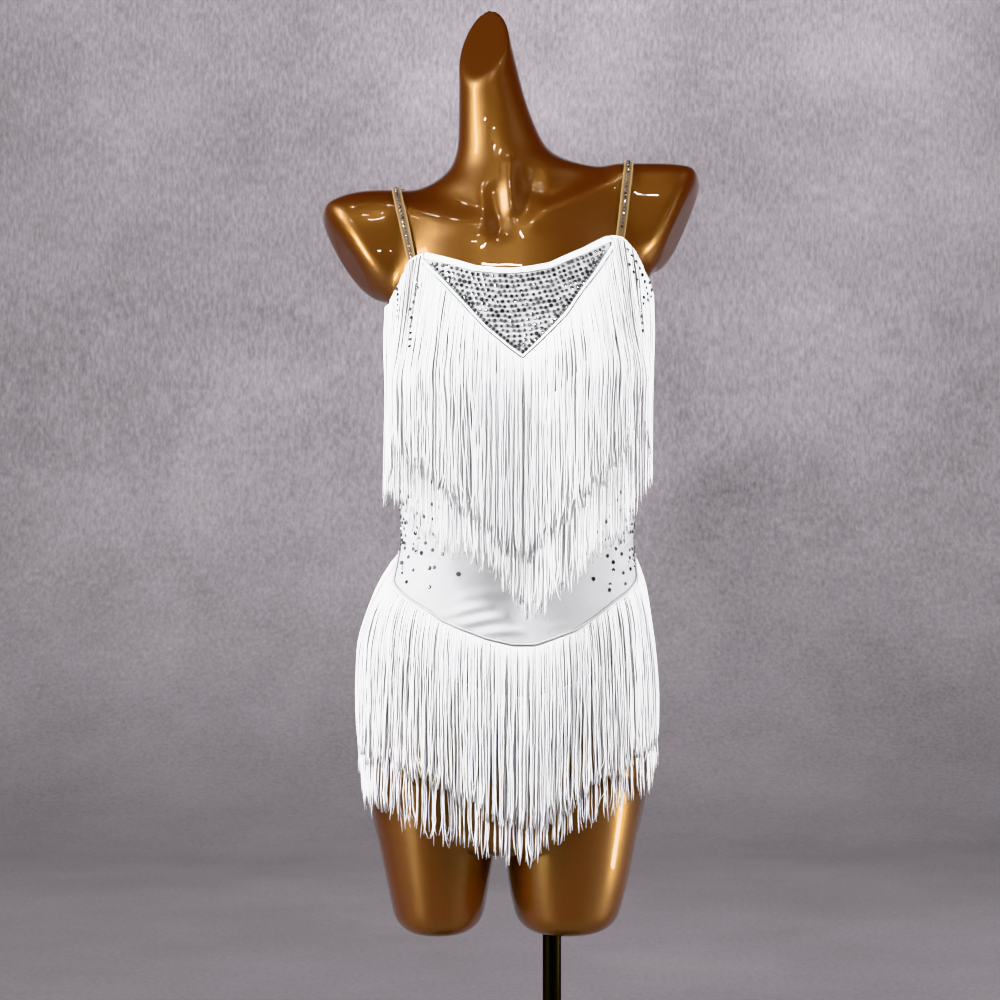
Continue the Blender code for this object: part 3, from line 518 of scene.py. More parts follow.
# ========================================
# The cloth panels: yoke, front, back and the skirt's two short base panels, cut from white
# two-way stretch knit, overlocked together and pulled tight over the form, edges turned in.
# ========================================
ANGLES = np.radians(np.arange(0, 361, 2.5) - 180)
LEVEL = 0.005  # between two heights
HEIGHTS = np.arange(0.470, 1.1951, LEVEL)
FACE_IN, FACE_OUT = 0.0018, 0.0030  # the cloth's two faces, out from the form
SEAM_GAP = 0.0003
HEM_TURN = 0.0060  # the turned-in edge, coverstitched
HEM_STEP, HEM_EASE = 0.0005, 0.0004  # how far it stands out, and over what height
GIRTH_RADIUS = 0.125  # turns an angle into a length on a flat pattern
SKIRT_BASE_HEM = 0.6450
# lines of the cut: degrees, height
NECKLINE = (
    (-56.5, 1.1275), (-40, 1.1195), (-26.5, 1.1126), (-12, 1.1103), (-2.4, 1.1097), (10, 1.1118),
    (22.8, 1.1155), (44.7, 1.1316), (58.6, 1.1448),
)
V_LINE = (
    (-56.5, 1.1173), (-44.2, 1.0970), (-33.5, 1.0773), (-16.2, 1.0466), (-3.8, 1.0286),
    (4.1, 1.0186), (13.8, 1.0354), (28.5, 1.0627), (45.4, 1.1019), (58.6, 1.1316),
)
LEFT_CORNER = (
    (-90, 1.0740), (-76.7, 1.0806), (-71.6, 1.0888), (-68.5, 1.0964), (-65.1, 1.1091),
    (-63.1, 1.1215), (-60.1, 1.1258), (-56.9, 1.1275),
)
RIGHT_CORNER = (
    (59.0, 1.1448), (60.9, 1.1456), (64.0, 1.1443), (67.1, 1.1345), (70.1, 1.1229),
    (74.1, 1.1104), (82.1, 1.0938), (90, 1.0850),
)
BACK_NECK = (
    (90, 1.0850), (105, 1.0700), (122, 1.0600), (138, 1.0530), (152, 1.0440), (166, 1.0350),
    (180, 1.0310), (194, 1.0340), (208, 1.0415), (222, 1.0490), (238, 1.0560), (255, 1.0620),
    (270, 1.0740),
)
SEAM = (
    (-180, 0.7950), (-150, 0.8000), (-120, 0.8130), (-90, 0.8240), (-86, 0.8105), (-81.8, 0.7945),
    (-64.1, 0.7802), (-49.7, 0.7670), (-41.8, 0.7568), (-31.7, 0.7487), (-17.1, 0.7390),
    (-1.6, 0.7330), (11.9, 0.7330), (22.5, 0.7390), (34.4, 0.7465), (47.1, 0.7610),
    (58.9, 0.7754), (83.1, 0.7975), (86.5, 0.8090), (90, 0.8210), (120, 0.8120), (150, 0.8000),
    (180, 0.7950),
)
# drag lines and soft creases: degrees and height of both ends, half width and height out, with
# the lengths in tenths of a millimetre
FOLD_UNITS = (1, 1e4, 1, 1e4, 1e4, 1e4)
FRONT_FOLDS = (
    (-46, 7622, -12, 7742, 66, 30), (-40, 7545, -4, 7618, 62, 32), (-26, 7440, 8, 7490, 54, 26),
    (-38, 7800, 2, 7885, 80, 18), (14, 7480, 38, 7600, 34, 8), (30, 7640, 52, 7790, 46, 8),
    (-80, 8450, -50, 8260, 52, 12), (-82, 8200, -58, 8060, 40, 11), (-84, 8640, -66, 8560, 44, 9),
    (58, 8230, 83, 8420, 50, 12), (60, 8040, 80, 8200, 38, 10), (66, 8560, 84, 8660, 46, 8),
    (-72, 10720, -60, 10440, 60, 10), (68, 10780, 58, 10480, 58, 10),
)
BACK_FOLDS = (
    (96, 8440, 132, 8300, 52, 15), (98, 8220, 126, 8120, 42, 12), (100, 8660, 140, 8590, 60, 13),
    (262, 8440, 226, 8320, 50, 14), (264, 8230, 236, 8140, 40, 12),
    (258, 8680, 220, 8600, 62, 12), (150, 8360, 208, 8400, 60, 12),
    (158, 8150, 200, 8170, 50, 10), (164, 10240, 150, 9820, 60, 9),
    (197, 10240, 211, 9800, 64, 9), (104, 10560, 118, 10200, 70, 10),
    (255, 10520, 242, 10180, 66, 10),
)


def halved(field_at, low, high, times):
    """Narrows the distances between which a field turns from below 0 to above it."""
    for _ in range(times):
        mid = (low + high) / 2
        inside = field_at(mid) < 0
        low, high = np.where(inside, mid, low), np.where(inside, high, mid)
    return low, high


def radius_table():
    """The outermost radius of the form at each angle and height: a coarse walk in, then halving."""
    u, z = np.meshgrid(ANGLES, HEIGHTS, indexing="ij")
    at = lambda r: form_field(r * np.sin(u), -r * np.cos(u), z)
    low, high = np.zeros_like(u), np.full_like(u, 0.26)
    found = np.zeros(u.shape, bool)
    for r in np.linspace(0.256, 0.0, 65):  # every 4 mm
        inside = at(r) < 0
        low[inside & ~found] = r
        found |= inside
        high[~found] = r
    low, high = halved(at, low, high, 16)
    return np.where(found, (low + high) / 2, 0.0)


def spread(table, around, along):
    """The mean over nearby angles and heights."""
    ring = table[:-1]
    ring = sum(np.roll(ring, k, axis=0) for k in range(-around, around + 1)) / (2 * around + 1)
    ring = np.pad(ring, ((0, 0), (along, along)), mode="edge")
    total = sum(ring[:, k : k + table.shape[1]] for k in range(2 * along + 1)) / (2 * along + 1)
    return np.concatenate([total, total[:1]])


# stretched cloth bridges the form's hollows, but clings under the arms; what the means take off
# a swell is added again, so that the cloth stays clear of it
BODY = radius_table()
bridged = spread(BODY, 4, 4)
under_arm = (np.abs(np.abs(np.degrees(ANGLES)) - 90) < 38)[:, None] & (HEIGHTS < 1.085)
bridged = np.where(under_arm, np.minimum(bridged, BODY + 0.0010), bridged)
RADIUS = spread(np.maximum(BODY, bridged) + 1.5 * np.maximum(BODY - bridged, 0), 1, 1) + 0.0003
turn_in = np.gradient(RADIUS, ANGLES, axis=0) / np.maximum(RADIUS, 0.02)
fall_in = np.gradient(RADIUS, HEIGHTS, axis=1)
SLANT = np.clip(1 / np.sqrt(1 + turn_in**2 + fall_in**2), 0.45, 1)


def look_up(table, u, z):
    """The table at any angle and height, by a cubic (Catmull-Rom) through four values each way."""
    u, z = np.broadcast_arrays(np.asarray(u, float), np.asarray(z, float))
    i = ((u + math.pi) % (2 * math.pi)) / (ANGLES[1] - ANGLES[0])
    j = np.clip((z - HEIGHTS[0]) / LEVEL, 0, len(HEIGHTS) - 1.001)
    a, b = np.floor(i).astype(int), np.floor(j).astype(int)
    s, t = i - a, j - b

    def weights(f):
        return (
            (-f + 2 * f**2 - f**3) / 2,
            (2 - 5 * f**2 + 3 * f**3) / 2,
            (f + 4 * f**2 - 3 * f**3) / 2,
            (f**3 - f**2) / 2,
        )

    ring, top = len(ANGLES) - 1, len(HEIGHTS) - 1
    total = 0
    for m, wa in enumerate(weights(s)):
        column = (a + m - 1) % ring
        for n, wb in enumerate(weights(t)):
            total = total + wa * wb * table[column, np.clip(b + n - 1, 0, top)]
    return total


def reach(u, z, off):
    """Radius at a distance `off` outside the form."""
    return look_up(RADIUS, u, z) + off / look_up(SLANT, u, z)


def place(u, z, r):
    """Angle, height and radius to x, y, z: x = middle + r sin u, y = -r cos u."""
    u, z, r = np.broadcast_arrays(np.asarray(u, float), z, r)
    return np.stack([MIDDLE_X + r * np.sin(u), -r * np.cos(u), z], -1)


def line(points, soft=1.0):
    """Height by degrees along a cut line, its corners eased over `soft` degrees each way."""
    p = np.array(points, float)
    ways = np.linspace(-soft, soft, 5)
    at = lambda deg: np.interp(np.asarray(deg, float), p[:, 0], p[:, 1])
    return lambda deg: sum(at(deg + way) for way in ways) / len(ways)


neckline, v_line, back_neck = line(NECKLINE, 1.5), line(V_LINE, 0.5), line(BACK_NECK, 3.0)
front_top = line(LEFT_CORNER + V_LINE + RIGHT_CORNER, 0.5)
seam_front_to_back = line(SEAM, 1.0)


def seam(deg):
    """The skirt seam's height, at any angle."""
    return seam_front_to_back((np.asarray(deg, float) + 180) % 360 - 180)


def creases(rows, u, z):
    """Each crease is height * (1 - (d / w)^2)^2 across its line, fading to nothing at both ends."""
    total = 0 * u * z
    x = np.degrees(u) % 360
    to_metres = math.radians(1) * 0.11
    for fold in rows:
        d0, z0, d1, z1, width, height = np.array(fold) / FOLD_UNITS
        across = ((x - d0 + 180) % 360 - 180) * to_metres
        dx, dz = (d1 - d0) * to_metres, z1 - z0
        t = np.clip((across * dx + (z - z0) * dz) / (dx * dx + dz * dz), 0, 1)
        wave = 0.0012 * np.sin(t * 5 + d0)  # no drag line is quite straight
        away = np.hypot(across - t * dx, z - z0 - t * dz - wave) / width
        total = total + height * np.sin(math.pi * t) ** 0.8 * np.maximum(0, 1 - away**2) ** 2
    return total


def cloth(name, deg, low, high, rows, folds=(), hem=None):
    """A cut panel as a thin wall: row j is at height low + (high - low) * rows[j] at each angle,
    and its outer face is the form's radius plus FACE_OUT, the creases and the turned edge."""
    z = low(deg)[:, None] * (1 - rows) + high(deg)[:, None] * rows
    u = np.radians(deg)[:, None] + 0 * z
    raised, edge = creases(folds, u, z), 1 + 0 * z
    if hem:
        edge = high(deg)[:, None] - z if hem == "top" else z - low(deg)[:, None]
        raised = raised + HEM_STEP / (1 + np.exp((edge - HEM_TURN) / HEM_EASE))
    outer = place(u, z, reach(u, z, FACE_OUT + raised))
    inner = place(u, z, reach(u, z, FACE_IN + raised * 0.5))
    flat = np.stack([u * GIRTH_RADIUS, z], -1)
    walls, maps, edges = (
        np.concatenate([a, b[:, ::-1]], 1)
        for a, b in ((outer, inner), (flat, flat), (edge, edge))
    )
    surface, marks = bodies(walls[None]), [("edge", edges)]
    return piece(name, *surface, white_knit, "cloth_white", uv=maps, crease=50, floats=marks)


def maths(tree, kind, *values):
    """A Math node with its inputs in order."""
    return put(tree, "ShaderNodeMath", dict(enumerate(values)), operation=kind).outputs[0]


def apart(tree, vector):
    """A vector's three coordinates."""
    return put(tree, "ShaderNodeSeparateXYZ", {"Vector": vector}).outputs


def ripples(tree, along, per_metre):
    """A sine wave on a coordinate in metres."""
    return maths(tree, "SINE", maths(tree, "MULTIPLY", along, 2 * math.pi * per_metre))


# A knit's face: rows of small V stitches, here a height and a tone from two crossed waves.
knit, given, result = effect(
    "knit",
    [("Vector", "NodeSocketVector", None), ("Stitches per metre", "NodeSocketFloat", 1400.0)],
    [("Height", "NodeSocketFloat"), ("Tone", "NodeSocketFloat")],
)
where, per_metre = given.outputs[:2]
wale, course = (
    maths(knit, "MULTIPLY", maths(knit, "MULTIPLY", along, per_metre), 2 * math.pi)
    for along in apart(knit, where)[:2]
)
lean = maths(knit, "ABSOLUTE", maths(knit, "SINE", maths(knit, "MULTIPLY", wale, 0.5)))
rows_of_v = maths(knit, "SINE", maths(knit, "ADD", course, lean))
columns_of_v = maths(knit, "MULTIPLY", maths(knit, "COSINE", wale), 0.5)
feed(
    result,
    Height=maths(knit, "ADD", columns_of_v, rows_of_v),
    Tone=clouded(knit, where, 22.0, 3.0),
)


def flat_map(tree):
    """The piece's own UV map, which is in metres."""
    return put(tree, "ShaderNodeUVMap", uv_map="UVMap").outputs["UV"]


def knitted(tree, stitches):
    """The knit's height and tone on the flat map."""
    inputs = {"Vector": flat_map(tree), "Stitches per metre": stitches}
    return put(tree, "ShaderNodeGroup", inputs, node_tree=knit).outputs[:2]


def fabric(name, rough, sheen, sheen_rough):
    """A material with a fabric's soft sheen."""
    return coated(name, Roughness=rough, Sheen_Weight=sheen, Sheen_Roughness=sheen_rough)


white_knit, tree, shader = fabric("white_stretch_knit", 0.72, 0.25, 0.4)
height, tone = knitted(tree, 1500.0)
# coverstitching: short dashes 5 mm in from a turned edge
edge = put(tree, "ShaderNodeAttribute", attribute_name="edge").outputs["Fac"]
off_line = maths(tree, "ABSOLUTE", maths(tree, "SUBTRACT", edge, 0.0050))
on_line = between(tree, 1.0, 0.0, off_line, (0.0, 0.0007))
dash = between(tree, 0.2, 1.0, ripples(tree, apart(tree, flat_map(tree))["X"], 380), (-0.2, 0.2))
thread = maths(tree, "MULTIPLY", on_line, dash)
feed(
    shader,
    Base_Color=shades(tree, (0.40, 0.397, 0.404), (0.475, 0.472, 0.479), tone),
    Normal=relief(tree, thread, 0.8, 0.0004, Normal=relief(tree, height, 0.30, 0.00012)),
)

half_gap = math.degrees(SEAM_GAP / 2 / GIRTH_RADIUS)
V_POINT = 4.1  # degrees
yoke_columns = np.linspace(-56.5, 58.6, 93)
front_columns = np.unique(
    np.concatenate(
        [
            np.linspace(-90 + half_gap, -56.9, 31),
            yoke_columns,
            [V_POINT],
            np.linspace(59.0, 90 - half_gap, 31),
        ]
    )
)
yoke_columns = np.sort(np.append(yoke_columns, V_POINT))
back_columns = np.linspace(90 + half_gap, 270 - half_gap, 131)
fine_top = np.concatenate([np.linspace(0, 0.95, 92, endpoint=False), np.linspace(0.95, 1, 14)])


def above_seam(d):
    """The lower edge of the front and the back."""
    return seam(d) + SEAM_GAP / 2


yoke_cloth = cloth(
    "yoke_cloth", yoke_columns, lambda d: v_line(d) + SEAM_GAP / 2, neckline, np.linspace(0, 1, 30)
)
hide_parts("front_yoke")
front_cloth = cloth(
    "front_cloth",
    front_columns,
    above_seam,
    lambda d: front_top(d) - SEAM_GAP,
    fine_top,
    FRONT_FOLDS,
)
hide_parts("front_panel")
back_cloth = cloth("back_cloth", back_columns, above_seam, back_neck, fine_top, BACK_FOLDS, "top")
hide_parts("back_panel")
for name, columns, node in (
    ("skirt_front_cloth", front_columns[::2], "skirt_base_front"),
    ("skirt_back_cloth", back_columns[::2], "skirt_base_back"),
):
    made = cloth(
        name,
        columns,
        lambda d: 0 * d + SKIRT_BASE_HEM,
        lambda d: seam(d) - SEAM_GAP / 2,
        np.linspace(0, 1, 46),
        hem="bottom",
    )
    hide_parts(node)

# ========================================
# The trims: an elastic binding folded over the neckline, a corded piping in the V seam and
# another, all the way round, in the skirt seam. They are sewn on the panels' outer face.
# ========================================
def elastic_knit(name, dark, light):
    """A finely ribbed elastic between two shades."""
    made, tree, shader = fabric(name, 0.55, 0.3, 0.35)
    height, tone = knitted(tree, 900.0)
    feed(
        shader,
        Base_Color=shades(tree, dark, light, tone),
        Normal=relief(tree, height, 0.45, 0.0002),
    )
    return made


trim_elastic = elastic_knit("trim_elastic", (0.78, 0.785, 0.79), (0.85, 0.85, 0.855))
# the skirt's piping is drawn into its seam; its grey is painted shade, the seam's shadow painted
# into its colour
piping_painted_shade = elastic_knit("piping_painted_shade", (0.36, 0.36, 0.37), (0.48, 0.48, 0.49))


def ring_corners(count, squareness):
    """Corner k of a superellipse |x|^p + |y|^p = 1, p = 2 / squareness, half a step round."""
    a = np.linspace(0, 2 * math.pi, count, endpoint=False) + math.pi / count
    return [np.sign(v) * np.abs(v) ** squareness for v in (np.cos(a), np.sin(a))]


def trim(name, deg, middle, width, thick, square, gather, closed=False, finish=trim_elastic):
    """A rounded section carried along a line of the cut.

    Its corners lie on the superellipse |z|^p + |off|^p = 1, p = square, `width` high and
    `thick` deep, with its inner face on the cloth; `gather` is the height of its small puckers.
    """
    up, out = ring_corners(16, 2 / square)
    out = -out  # this way round, its faces point outwards
    rng = np.random.default_rng(len(deg))
    pucker = gather * np.interp(deg, np.linspace(deg[0], deg[-1], 70), rng.random(70))
    z = middle(deg)[:, None] + up * width / 2
    u = np.radians(deg)[:, None] + 0 * z
    off = FACE_OUT + 0.0001 + thick / 2 * (1 + out) + (pucker[:, None] * np.clip(out, 0, 1))
    rings = place(u, z, reach(u, z, off))
    flat = np.stack([u * GIRTH_RADIUS, z], -1)
    return piece(name, *bodies(rings[None], closed), finish, "trim_white", uv=flat)


band_columns = np.linspace(-56.4, 58.5, 150)
v_columns = np.unique(np.append(np.linspace(-55.9, 58.0, 150), V_POINT))
round_columns = np.linspace(-180, 180, 420, endpoint=False)
neck_band = trim(
    "neck_band", band_columns, lambda d: neckline(d) - 0.0031,
    width=0.0060, thick=0.0012, square=3.2, gather=0.0004,
)
v_cord = trim(
    "v_cord", v_columns, lambda d: v_line(d) + 0.0021,
    width=0.0030, thick=0.0024, square=2.0, gather=0.0002,
)
# the skirt cord wears the grey piping finish: painted shade along the seam
skirt_cord = trim(
    "skirt_cord", round_columns, lambda d: seam(d) + 0.0016,
    width=0.0022, thick=0.0020, square=2.0, gather=0.0002, closed=True, finish=piping_painted_shade,
)
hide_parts("neck_binding")
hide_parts("v_piping")
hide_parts("skirt_piping")

# ========================================
# The fringe: four rows of fine twisted rayon cords, about 20 cm long on the chest and 18 cm
# on the skirt, knitted into a narrow header that is sewn on along the V, across the chest, in
# the skirt seam and 5 cm below it.
# ========================================
# the line of the lower chest row: degrees, height
LOWER_ROW = (
    (-86, 1.0620), (-72, 1.0700), (-57, 1.0640), (-43, 1.0400), (-23.5, 1.0260), (-15, 1.0160),
    (-7.5, 0.9985), (1, 0.9840), (6, 0.9660), (12, 0.9690), (25, 1.0010), (32, 1.0220),
    (46, 1.0370), (60, 1.0680), (72, 1.0780), (86, 1.0680),
)
# cord lengths along each row: degrees, length
UPPER_FALLS = ((-86, 0.1960), (86, 0.1960))
LOWER_FALLS = (
    (-86, 0.1700), (-66, 0.1860), (-48, 0.1990), (-20, 0.2010), (20, 0.2010), (48, 0.1990),
    (66, 0.1860), (86, 0.1720),
)
SKIRT_FALLS = (
    (-180, 0.1850), (-90, 0.1780), (-68, 0.1680), (-45, 0.1640), (-20, 0.1690), (5, 0.1800),
    (25, 0.1740), (40, 0.1640), (68, 0.1640), (90, 0.1700), (180, 0.1850),
)
SKIRT_LOWER_FALLS = (
    (-180, 0.1780), (-90, 0.1700), (-68, 0.1620), (-45, 0.1630), (-20, 0.1620), (5, 0.1640),
    (25, 0.1540), (40, 0.1440), (68, 0.1480), (90, 0.1600), (180, 0.1780),
)
SKIRT_ROW_DROP = 0.0500
HEADER = 0.0030
CORD, CORD_POINTS = 0.00062, 20  # a cord's half width, and the points down its middle
CHEST_LEAN, SKIRT_LEAN = 0.02, 0.06  # how far a row draws in as it hangs, by its height

rayon, tree, shader = fabric("fringe_rayon", 0.55, 0.2, 0.3)
across, along = apart(tree, flat_map(tree))[:2]  # the cord's number, and metres from its root
number = maths(tree, "FLOOR", across)
dyed = put(tree, "ShaderNodeTexWhiteNoise", {"W": number}, noise_dimensions="1D").outputs["Value"]
down, around = (
    maths(tree, "MULTIPLY", value, 2 * math.pi * turns)
    for value, turns in ((along, 520), (across, 1))
)
twist = maths(tree, "SINE", maths(tree, "ADD", down, around))
feed(
    shader,
    Base_Color=shades(tree, (0.71, 0.71, 0.72), (0.93, 0.93, 0.93), dyed),
    Normal=relief(tree, twist, 0.5, 0.0002),
)


def curtain(under, root, lean):
    """The radius at which cords hang: straight down from what they last lay on, drawn in by `lean`.

    At height z it is the greatest value of under(z') - lean * (z' - z) for z' from z to the root,
    and above that the cords span any hollow; `lean` is given at the front and at the sides.
    """
    z = HEIGHTS[None, :]
    inward = (lean[0] + (lean[1] - lean[0]) * np.sin(ANGLES) ** 4)[:, None]
    top = root(np.degrees(ANGLES))[:, None]
    above = z > top + 0.004
    held = np.where(above, 0.0, under) - inward * z
    hung = np.maximum.accumulate(held[:, ::-1], axis=1)[:, ::-1] + inward * z
    hung = spread(np.where(above, under, np.maximum(hung, under)), 1, 0)
    free = (z < top - 0.002)[:, 1:-1]
    for _ in range(260):  # until no hollow is left under a chord
        chord = (hung[:, :-2] + hung[:, 2:]) / 2
        hung[:, 1:-1] = np.where(free, np.maximum(hung[:, 1:-1], chord), hung[:, 1:-1])
    return hung


def wander(rng, t, waves, size):
    """A smooth random line: a sum of sines over t with random phase and falling height."""
    total = 0 * t
    for k in range(1, waves + 1):
        total = total + np.sin(t * k * rng.uniform(0.7, 1.3) + rng.uniform(0, 2 * math.pi)) / k**0.5
    return total * size / waves**0.5


def hang(table, u, z, step):
    """Where cords go on the table's surface: its swell pushes them along the level normal of an
    oval twice as wide as deep. An angle changes by -step * r_z * t / (r - r_u * t), where t is
    the tangent of the normal's turn from the way out."""
    table = spread(table, 2, 4)
    path, oval, du, dz = [u], 2 * 2, 0.03, 0.004
    for _ in range(CORD_POINTS - 1):
        s, c = np.sin(u), np.cos(u)
        t = s * c * (1 - oval) / (s * s + c * c * oval)
        r = look_up(table, u, z)
        r_u = (look_up(table, u + du, z) - look_up(table, u - du, z)) / (2 * du)
        r_z = (look_up(table, u, z + dz) - look_up(table, u, z - dz)) / (2 * dz)
        u = u - step * np.clip(r_z * t / np.maximum(r - r_u * t, 0.03), -3, 3)
        z = z - step
        path.append(u)
    return np.stack(path, 1)


# how unevenly a row is knitted, cut and tousled: lengths in metres, and shares of a length
ROOT_ERROR = 0.35
CUT_ERROR, CUT_DRIFT = 0.0052, 0.0030
SHORT_SHARE, SHORT_LEAST, SHORT_MOST = 0.10, 0.004, 0.024
TUFT_ENDS, LEAST_PULL = 0.30, -0.25
LEAN_DRIFT, LEAN_OWN = 0.008, 0.0070
BEND, RIPPLE, FLICK, FLICK_PART = 0.0010, 0.0004, 0.0016, 0.08
CLEAR, STAND_OUT = 0.0005, 0.0006
ROW_START = 0.035  # over this height the row above comes to lie on a row that begins


def tape(ends, root, table, closed):
    """The header: a flat knitted tape under the row's line, and its texture coordinates."""
    columns = np.linspace(*ends, 360, endpoint=not closed)
    a = np.linspace(0, 2 * math.pi, 8, endpoint=False) + math.pi / 8
    rise = np.sign(np.cos(a)) * np.abs(np.cos(a)) ** 0.6
    z = root(columns)[:, None] - HEADER / 2 + rise * HEADER / 2
    u = np.radians(columns)[:, None] + 0 * z
    rings = place(u, z, look_up(table, u, z) + 0.0002 + 0.0004 * (1 - np.sin(a)))
    return *bodies(rings[None], closed), np.stack([0 * u - 5, u * 0.12], -1)


def fringe(
    name, ends, root, falls, table, seed, per_metre, share, depth, bow, clump, closed=False
):
    """Cords side by side along a row, each a square tube from its root to its cut end.

    Roots lie at even lengths along the row, thinned where `share` is below 1. A cord hangs
    over what swells below it. Its side shift is a slow drift shared with its neighbours, its own
    lean, a pull to the middle of its tuft (at most `clump`) that grows downwards, waves, and a
    flick at the cut end. It stands out by its own place in the row's depth, and by the row's bow.
    """
    rng = np.random.default_rng(seed)
    fine = np.linspace(*ends, 3001)
    u, z = np.radians(fine), root(fine)
    r = look_up(table, u, z)
    steps = np.hypot(np.hypot(np.diff(u) * r[1:], np.diff(z)), np.diff(r))
    run = np.concatenate([[0], np.cumsum(steps * share((fine[1:] + fine[:-1]) / 2))])
    count = int(run[-1] * per_metre)
    even = np.arange(count) + 0.5 + rng.uniform(-ROOT_ERROR, ROOT_ERROR, count)
    spot = even / count * run[-1]
    deg = np.interp(spot, run, fine)
    u0, z0 = np.radians(deg), root(deg)
    length = falls(deg) + rng.normal(0, CUT_ERROR, count) + wander(rng, spot * 90, 6, CUT_DRIFT)
    short = rng.random(count) < SHORT_SHARE
    length -= np.where(short, rng.uniform(SHORT_LEAST, SHORT_MOST, count), 0)
    s = np.linspace(0, 1, CORD_POINTS)[None, :]
    u = hang(table, u0, z0 - 0.001, length / (CORD_POINTS - 1))
    side = u0 * 0.12
    tuft = np.cumsum(rng.random(count) < TUFT_ENDS)
    middle = np.bincount(tuft, side) / np.bincount(tuft)
    pull = rng.uniform(LEAST_PULL, clump, tuft[-1] + 1)[tuft]
    lean = wander(rng, spot * 40, 6, LEAN_DRIFT)[:, None] + rng.normal(0, LEAN_OWN, count)[:, None]
    one = (count, 1)
    phase, size = rng.uniform(0, 2 * math.pi, (3, *one)), rng.uniform(0.2, 1, (3, *one))
    shift = (
        lean * length[:, None] * s
        + (pull * (middle[tuft] - side))[:, None] * s * s * (3 - 2 * s)
        + BEND * size[0] * s * np.sin(phase[0] + s * rng.uniform(4, 9, one))
        + RIPPLE * size[1] * np.minimum(1, s * 3) * np.sin(phase[1] + s * rng.uniform(18, 30, one))
        + rng.normal(0, FLICK, one) * np.maximum(0, s - (1 - FLICK_PART)) / FLICK_PART
    )
    u = u + shift / np.maximum(look_up(table, u0, z0)[:, None], 0.06)
    z = z0[:, None] - 0.001 - length[:, None] * s
    place_in_row = rng.uniform(0, 1, one) ** 1.3
    off = CLEAR + CORD + depth * place_in_row * (0.35 + 0.65 * np.minimum(1, s * 6))
    off = off + STAND_OUT * size[2] * (1 + np.sin(phase[2] + s * 7)) * np.minimum(1, s * 5)
    off = off + bow(deg)[:, None] * (1 - np.exp(-s * 7)) * (1 - 0.35 * s)
    path = place(u, z, look_up(table, u, z) + off)[:, :, None]
    across = np.stack([np.cos(u0), np.sin(u0), 0 * u0], -1)[:, None, None]
    outward = np.stack([np.sin(u0), -np.cos(u0), 0 * u0], -1)[:, None, None]
    a = np.arange(4)[:, None] * math.pi / 2
    trimmed = np.where(np.arange(CORD_POINTS) < CORD_POINTS - 1, 1, 0.7)[None, :, None, None]
    wide = CORD * rng.uniform(0.75, 1.2, (count, 1, 1, 1)) * trimmed
    rings = path + wide * (across * np.cos(a) - outward * np.sin(a)) * 1.15
    number = np.arange(count)[:, None, None] + np.array([0.1, 0.35, 0.6, 0.85])
    uv = np.stack(np.broadcast_arrays(number, (length[:, None] * s)[:, :, None]), -1)
    points, faces = bodies(rings)
    tape_points, tape_faces, tape_uv = tape(ends, root, table, closed)
    return piece(
        name,
        np.concatenate([points, tape_points]),
        np.concatenate([faces, tape_faces + len(points)]),
        rayon,
        "fringe_white",
        uv=np.concatenate([uv.reshape(-1, 2), tape_uv.reshape(-1, 2)]),
    )


def layered(under, hung, root, thick):
    """What the next row lies on: the cloth, and the row below it once that has begun.

    That row is half as thick at the sides, where its cords are fewer.
    """
    thick = thick * (1 - 0.5 * np.sin(ANGLES[:, None]) ** 4)
    below_root = root(np.degrees(ANGLES))[:, None] + 0.002 - HEIGHTS[None, :]
    started = np.clip(below_root / ROW_START, 0, 1)
    return np.maximum(under, under + (hung + thick - under) * started)


def in_front(row, edge=90):
    """A row's height in front, and 0 past `edge` degrees, where the row has ended."""
    return lambda d: np.where(np.abs(d) < edge, row(d), 0)


def flat_row(d):
    """A row that stands off no further anywhere."""
    return 0 * d


def full_row(d):
    """A row with no cord left out."""
    return 1 + 0 * d


def lower_share(d):
    """Fewer cords towards the side seams."""
    return np.clip(1.35 - np.abs(d) / 70, 0.42, 1)


def upper_share(d):
    """Thinner under the arms, and at the point of the V."""
    at_point = 1 - 0.5 * np.exp(-(((d - V_POINT) / 0.9) ** 2))
    return np.where((d < -58) | (d > 60), 0.60, at_point)


cloth_out = RADIUS + FACE_OUT / SLANT
lower_row = line(LOWER_ROW)
chest_low = curtain(cloth_out, in_front(lower_row), (CHEST_LEAN, 0.010))
chest_fringe_under = fringe(
    "chest_fringe_under", (-85, 85), lower_row, line(LOWER_FALLS), chest_low, seed=11,
    per_metre=800, share=lower_share, depth=0.0014, bow=flat_row, clump=0.40,
)
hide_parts("chest_fringe_lower")
over_low = layered(cloth_out, chest_low, in_front(lower_row, 86), thick=0.0020)
chest_high = curtain(over_low, in_front(front_top), (CHEST_LEAN, 0.012))
chest_fringe_over = fringe(
    "chest_fringe_over", (-86, 86), lambda d: front_top(d) - 0.0006, line(UPPER_FALLS),
    chest_high, seed=12, per_metre=800, share=upper_share, depth=0.0016, bow=flat_row, clump=0.45,
)
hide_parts("chest_fringe_upper")


def skirt_row(d):
    """The lower row's line, on the skirt's base."""
    return seam(d) - SKIRT_ROW_DROP


def skirt_bow(d):
    """The rows stand off the hips a little, most on the side that the form leans to."""
    return np.where(d < 0, 0.0070, 0.0044) * np.sin(np.radians(d)) ** 2


